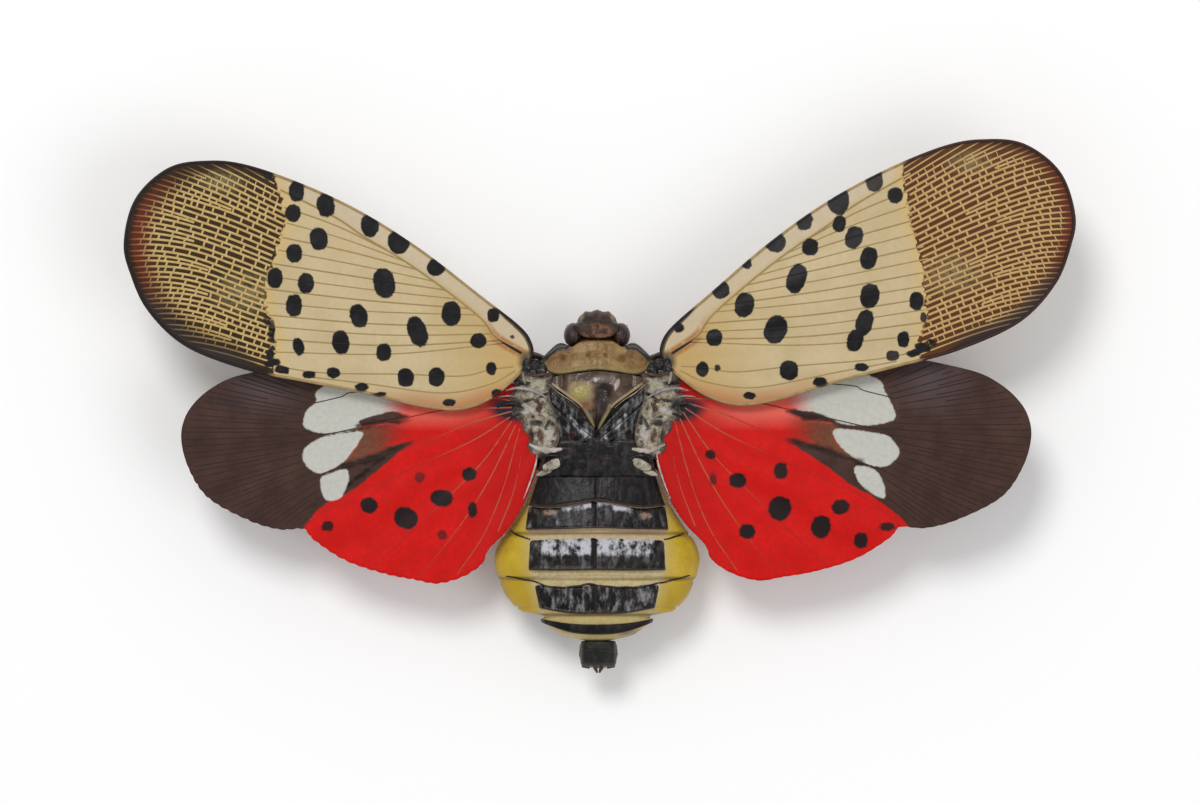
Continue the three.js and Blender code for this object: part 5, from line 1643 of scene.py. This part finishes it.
def make_face_parts(paints):
    for side, sign in SIDES.items():
        def eye(angle, share):
            ring = np.sin(share * math.pi)
            return np.column_stack([sign * (EYE_CENTRE[0] + EYE_RADII[0] * ring * np.cos(angle)),
                                    EYE_CENTRE[1] + EYE_RADII[1] * ring * np.sin(angle),
                                    EYE_CENTRE[2] + EYE_RADII[2] * np.cos(share * math.pi)])
        piece = shaped_ball(f"eye_{side}_ball", 72, 44, eye)
        finish_piece(piece, paints["eye"], (f"eye_{side}",))
        # A raised rim between the eye and the head, whose ends run past each other
        turn = np.linspace(0, 2 * math.pi + 0.15, EYE_RIM_POINTS)
        rim_x = EYE_CENTRE[0] - 0.16 + 0.05 * np.cos(turn)
        rim_y = EYE_CENTRE[1] + EYE_RADII[1] * 0.97 * np.cos(turn)
        rim_z = EYE_CENTRE[2] + EYE_RADII[2] * 0.97 * np.sin(turn)
        rim = np.column_stack([sign * rim_x, rim_y, rim_z, np.full(EYE_RIM_POINTS, EYE_RIM_RADIUS)])
        piece = tubes(f"eye_{side}_rim", [rim], sides=2)
        finish_piece(piece, paints["brown"], (f"eye_{side}",))

        def knob(angle, share):
            ring = np.sin(share * math.pi) * (1 + 0.04 * np.sin(angle * 9) * np.sin(share * 20))
            return np.column_stack([sign * (BULB_CENTRE[0] + BULB_RADII[0] * ring * np.cos(angle)),
                                    BULB_CENTRE[1] + BULB_RADII[1] * ring * np.sin(angle),
                                    BULB_CENTRE[2] + BULB_RADII[2] * np.cos(share * math.pi)])
        piece = shaped_ball(f"feeler_{side}_bulb", 48, 30, knob)
        finish_piece(piece, paints["orange"], (f"antenna_{side}",))
        runs = [np.array(line) * [sign, 1, 1, 1] for line in (FEELER_STEM, FEELER_BRISTLE)]
        piece = tubes(f"feeler_{side}_stem", runs, sides=3)
        finish_piece(piece, paints["orange"], (f"antenna_{side}",))

    def neck(angle, share):
        ring = np.sin(share * math.pi)
        folds = 1 + 0.05 * np.sin(angle * 14)
        return np.column_stack([1.12 * ring * np.cos(angle) * folds, -3.42 + 0.34 * np.cos(share * math.pi),
                                3.42 + 0.86 * ring * np.sin(angle) * folds])
    piece = shaped_ball("neck", 90, 40, neck)
    finish_piece(piece, paints["brown"], ("prothorax",))
    beak = smooth_path(BEAK_LINE, 60)
    piece = tubes("beak_sheath", [np.column_stack([beak, np.interp(beak[:, 1], *BEAK_THICK)])], sides=4)
    finish_piece(piece, paints["brown"], ("beak",))


# Egg-laying tail: marks along it with its width share, half height and middle height there
TAIL_SECTIONS = ([0, .3, .8, .94, 1], [.93, 1, 1, .9, .6], [.5, .6, .5, .34, .2],
                 [3.2, 3.12, 3.0, 2.92, 2.88])
TAIL_START = 12.05
TAIL_LENGTH = 1.42
TAIL_HALF_WIDTH = 0.95
# The photo's tail sits a little to the right of the midline
TAIL_MIDDLE = -0.07
# Its valves, the pair at the end and the pair round the sides, as (middle, out from it, back, height, radius)
TAIL_VALVES = [
    [(-.07, .2, 13.1, 3.1, .14), (-.07, .16, 13.5, 3.02, .12), (-.06, .06, 13.76, 2.94, .05)],
    [(-.07, .86, 12.3, 3.12, .1), (-.07, .9, 12.8, 3.06, .11), (-.07, .78, 13.42, 2.98, .1),
     (-.07, .45, 13.5, 2.96, .07)],
]


def make_tail(paint):
    marks, across, rise, middle = TAIL_SECTIONS

    def place(angle, share):
        run = (1 - np.cos(math.pi * share)) / 2
        y = TAIL_START + TAIL_LENGTH * run
        shut = np.sqrt(unit(1 - (1 - unit(np.minimum(run, 1 - run) / 0.07)) ** 2))
        rings = 1 - 0.05 * hill(run - 0.35, 0.02) - 0.06 * hill(run - 0.78, 0.02)
        half = TAIL_HALF_WIDTH * np.interp(run, marks, across) * shut * rings
        tall = np.interp(run, marks, rise) * shut * rings * 0.96
        cleft = 0.14 * hill(np.cos(angle), 0.12) * ease((run - 0.3) / 0.3)
        cos, sin = np.cos(angle), np.sin(angle)
        x = half * np.sign(cos) * np.abs(cos) ** 0.7
        z = np.interp(run, marks, middle) + np.sign(sin) * np.abs(sin) ** 0.8 * tall * (1 - cleft)
        return np.column_stack([TAIL_MIDDLE + x, y + 0.05 * np.abs(cos) * ease((run - 0.7) / 0.3), z])

    finish_piece(shaped_ball("tail_shell", 100, 80, place), paint, ("ovipositor",))
    runs = [[(centre + sign * out, *rest) for centre, out, *rest in line]
            for sign in (-1, 1) for line in TAIL_VALVES]
    finish_piece(tubes("tail_valves", runs, sides=3), paint, ("ovipositor",))


def tail_paint():
    paint = Paint("tail_shell_black", roughness=0.32, specular=0.28)
    x, y, _ = paint.axes()
    fine = paint.noise(0.12, detail=4)
    soft = paint.noise(0.4, detail=4)
    base = paint.mix(soft.step(0.3, 0.7), "0e0f0e", "1f201c")
    side = paint.math("ABSOLUTE", x - TAIL_MIDDLE).step(0.7, 0.95)
    rim = paint.math("MAXIMUM", side, y.step(13.25, 13.5))
    base = paint.mix(rim * fine.step(0.3, 0.6) * 0.75, base, "5c4a3c")
    paint.colour(base)
    paint.bump(fine * 0.5 + soft * 0.5, 0.06, 0.9)
    return paint.material


# Legs: hip, end of the coxa, knee, ankle and toe of the left ones. The hips lie inside the skin.
LEGS = {
    "front": [(0.95, -2.3, 2.25), (2.0, -2.2, 1.5), (5.3, -3.2, 3.5), (8.8, -4.9, .36), (10.5, -5.6, .16)],
    "middle": [(1.2, -.75, 1.75), (2.15, -.65, 1.42), (5.6, .1, 3.4), (9.2, 1.0, .36), (11.0, 1.35, .16)],
    "hind": [(1.2, 1.7, 1.65), (2.1, 2.15, 1.38), (5.3, 4.5, 3.4), (11.4, 6.3, .36), (13.4, 6.5, .16)],
}
# Limbs: the joints they run between, radii along them, arch, and flatness from side to side
LIMBS = {
    "coxa": ((0, 1), [.3, .38, .36, .28], 0.0, 0.92),
    "femur": ((1, 2), [.17, .24, .33, .35, .3, .24, .17, .22], .15, 0.8),
    "tibia": ((2, 3), [.2, .14, .17, .16, .165, .175, .19, .23], .12, 0.92),
}
LIMB_STEPS = 60
FOOT_JOINTS = (0.0, 0.38, 0.66, 1.0)
FOOT_RADII = [.11, .14, .17]
# Points of a claw, as (ahead of the toe, aside, up, radius)
CLAW = ((.0, .07, .0, .09), (.2, .16, .04, .07), (.36, .24, .0, .045), (.44, .26, -.09, .015))
# Places of the hind shin's spines along it
SHIN_SPINES = (0.3, 0.46, 0.61, 0.75, 0.88)
COMB_SPINES = 5
FLOOR_GAP = 0.004


def limb_path(start, end, arch):
    middle = (start + end) / 2 + np.array([0, 0, 2 * arch])
    t = np.linspace(0, 1, LIMB_STEPS)[:, None]
    return start * (1 - t) ** 2 + 2 * middle * t * (1 - t) + end * t ** 2


def round_limb(name, path, radii, flat=1.0, ridges=0.0, segments=28, rings=90):
    """A closed limb along a path, thick by radii and flattened from side to side."""
    path = np.array(path)
    steps = np.linspace(0, 1, len(path))
    tangent = np.gradient(path, axis=0)
    tangent /= np.linalg.norm(tangent, axis=1)[:, None]
    side_way = np.cross(tangent, [0, 0, 1.0])
    side_way /= np.linalg.norm(side_way, axis=1)[:, None]
    up_way = np.cross(side_way, tangent)

    length = np.sum(np.linalg.norm(np.diff(path, axis=0), axis=1))
    marks = np.linspace(0, 1, len(radii))
    thickness = profile(list(zip(marks, radii)))

    def place(angle, share):
        run = 0.6 * share + 0.4 * (1 - np.cos(math.pi * share)) / 2
        radius = thickness(run)
        near_end = np.minimum(run, 1 - run) * length / (radius * 0.9)
        radius = radius * np.sqrt(1 - (1 - unit(near_end)) ** 2)
        dents = 0.05 * rough(np.cos(angle) * 0.4 + run * length, np.sin(angle) * 0.4, 0.5, float(len(name)))
        radius = radius * (1 + ridges * np.cos(angle * 6) + dents)
        centre, side, up = ([np.interp(run, steps, table[:, k]) for k in range(3)]
                            for table in (path, side_way, up_way))
        a = radius * np.cos(angle) * flat
        b = radius * np.sin(angle)
        return np.column_stack([centre[k] + a * side[k] + b * up[k] for k in range(3)])

    return shaped_ball(name, segments, rings, place)


def seat_on_floor(piece):
    p = points_of(piece)
    p[:, 2] = np.maximum(p[:, 2], FLOOR_GAP)
    set_points(piece, p)


def make_leg(leg, side, paint):
    joints = [np.array(p) * [SIDES[side], 1, 1] for p in LEGS[leg]]
    for limb, ((a, b), radii, arch, flat) in LIMBS.items():
        path = limb_path(joints[a], joints[b], arch)
        piece = round_limb(f"{limb}_{leg}_{side}_shell", path, radii, flat, 0.04)
        finish_piece(piece, paint, (f"{limb}_{leg}_{side}",))
    # Tarsus: three joints, each widening to its end, then two claws
    last = LIMB_STEPS - 1
    ankle, toe = joints[3], joints[4]
    foot = limb_path(ankle, toe, -0.04)
    for k, (start, stop) in enumerate(zip(FOOT_JOINTS, FOOT_JOINTS[1:])):
        part = foot[int(start * last):int(stop * last) + 1]
        piece = round_limb(f"tarsus_{leg}_{side}_{k + 1}", part, FOOT_RADII, 1.1, rings=30, segments=20)
        seat_on_floor(piece)
        finish_piece(piece, paint, (f"tarsus_{leg}_{side}",))
    ahead = (toe - ankle) * [1, 1, 0]
    ahead = ahead / np.linalg.norm(ahead)
    across = np.array([-ahead[1], ahead[0], 0])
    runs = [[(*(toe + ahead * s + across * turn * w + [0, 0, h]), r) for s, w, h, r in CLAW]
            for turn in (-1, 1)]
    # Spines along the shin and a comb of short ones at its end
    shin = limb_path(joints[2], joints[3], LIMBS["tibia"][2])
    for share in SHIN_SPINES if leg == "hind" else ():
        at = int(share * last)
        lean = shin[at] - shin[at - 8]
        lean = lean / np.linalg.norm(lean)
        root = shin[at]
        tip = root + np.array([0, 0.42, 0.1]) + lean * 0.22
        runs.append([(*root, .09), (*((root + tip) / 2 + [0, 0, .02]), .06), (*tip, .012)])
    root = shin[last - 3]
    for k in range(COMB_SPINES):
        fan = math.radians(-70 + 35 * k)
        tip = root + ahead * 0.24 + across * math.sin(fan) * 0.26 + np.array([0, 0, -0.1 * math.cos(fan)])
        runs.append([(*root, .07), (*((root + tip) / 2), .05), (*tip, .012)])
    piece = tubes(f"spines_{leg}_{side}", runs, sides=2)
    seat_on_floor(piece)
    finish_piece(piece, paint, (f"tarsus_{leg}_{side}",))


def make_body():
    brown = mottled_paint("brown_shell", "4a3226", "2b1e19", "7a5b43", 0.4, 0.3)
    cream = mottled_paint("cream_membrane", "a39b87", "7d7363", "4d3c30", 0.5, 0.3)
    speckled = mottled_paint("speckled_membrane", "b4ad9c", "857c6d", "3a2f29", 0.5, 0.22)
    white = mottled_paint("white_membrane", "bdb6ab", "958b81", "63554b", 0.5, 0.3)
    dark = mottled_paint("dark_hinge", "0f0c0c", "1c1819", "77726f", 0.3, 0.2)
    blue = mottled_paint("blue_shell", "14161b", "22262c", "424b4d", 0.35, 0.4)
    lilac = mottled_paint("lilac_strut_shell", "a2999c", "7a7176", "4e4448", 0.3, 0.35)
    orange = mottled_paint("orange_shell", "b0481d", "8c3214", "d0793a", 0.4, 0.12)
    legs = mottled_paint("leg_shell", "2a1f1b", "1b1413", "5b4636", 0.35, 0.25)
    make_skin(skin_paint())
    plates = plate_paint()
    make_tergites(plates)
    make_rear_plates(plates)
    make_seams(dark)
    make_pronotum(pronotum_paint())
    make_mesonotum(mesonotum_paint())
    make_wing_bases({"membrane": base_membrane_paint(), "cream": cream, "white": white, "dark": dark,
                     "blue": blue, "lilac": lilac, "brown": brown, "speckled": speckled})
    make_head(head_paint())
    make_face_parts({"eye": eye_paint(), "brown": brown, "orange": orange})
    make_tail(tail_paint())
    for leg in LEGS:
        for side in SIDES:
            make_leg(leg, side, legs)


fore_paints = (forewing_paint(), fore_vein_paint(), rim_paint())
hind_paints = (hindwing_paint(), hind_vein_paint())
for side in SIDES:
    make_forewing(side, fore_paints)
    make_hindwing(side, hind_paints)
make_body()


# Floor, light and camera, in metres and watts where nothing else is said

FLOOR_SIZE = 3.0
WORLD_STRENGTH = 0.56
# Lights as (name, place, size, power), aimed at the insect's middle
LIGHTS = [("key", (0.12, -0.25, 0.5), 0.2, 1.4), ("fill", (-0.3, 0.15, 0.45), 0.35, 0.55)]


def make_stage():
    bpy.ops.object.select_all(action="DESELECT")
    bpy.ops.mesh.primitive_plane_add(size=FLOOR_SIZE)
    floor = bpy.context.object
    floor.name = "floor"
    paint = Paint("floor_card", roughness=0.9, specular=0.1)
    paint.colour("fafafa")
    floor.data.materials.append(paint.material)


def make_light(name, place, size, power):
    data = bpy.data.lights.new(name, "AREA")
    data.shape = "DISK"
    data.size = size
    data.energy = power
    light = bpy.data.objects.new(name, data)
    light.location = place
    light.rotation_euler = (-Vector(place)).to_track_quat("-Z", "Y").to_euler()
    bpy.context.collection.objects.link(light)


def make_world():
    world = bpy.data.worlds.new("studio")
    bpy.context.scene.world = world
    world.use_nodes = True
    sky = world.node_tree.nodes["Background"]
    sky.inputs["Color"].default_value = (1, 1, 1, 1)
    sky.inputs["Strength"].default_value = WORLD_STRENGTH


# The photo's frame: 1200 pixels across are 61.8 mm at the wings, its middle just right of the body's midline
FRAME_WIDTH = 61.8
FRAME_CENTRE = (-0.155, -0.335)
WING_LEVEL = 5.5
LENS = 200
SENSOR = 36


def make_camera():
    data = bpy.data.cameras.new("camera")
    data.lens = LENS
    data.sensor_width = SENSOR
    data.clip_start = 0.01
    camera = bpy.data.objects.new("camera", data)
    height = WING_LEVEL + FRAME_WIDTH * LENS / SENSOR
    camera.location = (FRAME_CENTRE[0] * MM, FRAME_CENTRE[1] * MM, height * MM)
    camera.rotation_euler = (0, 0, math.pi)
    bpy.context.collection.objects.link(camera)
    bpy.context.scene.camera = camera


make_stage()
make_world()
for light in LIGHTS:
    make_light(*light)
make_camera()
bpy.context.scene.view_settings.view_transform = "Standard"
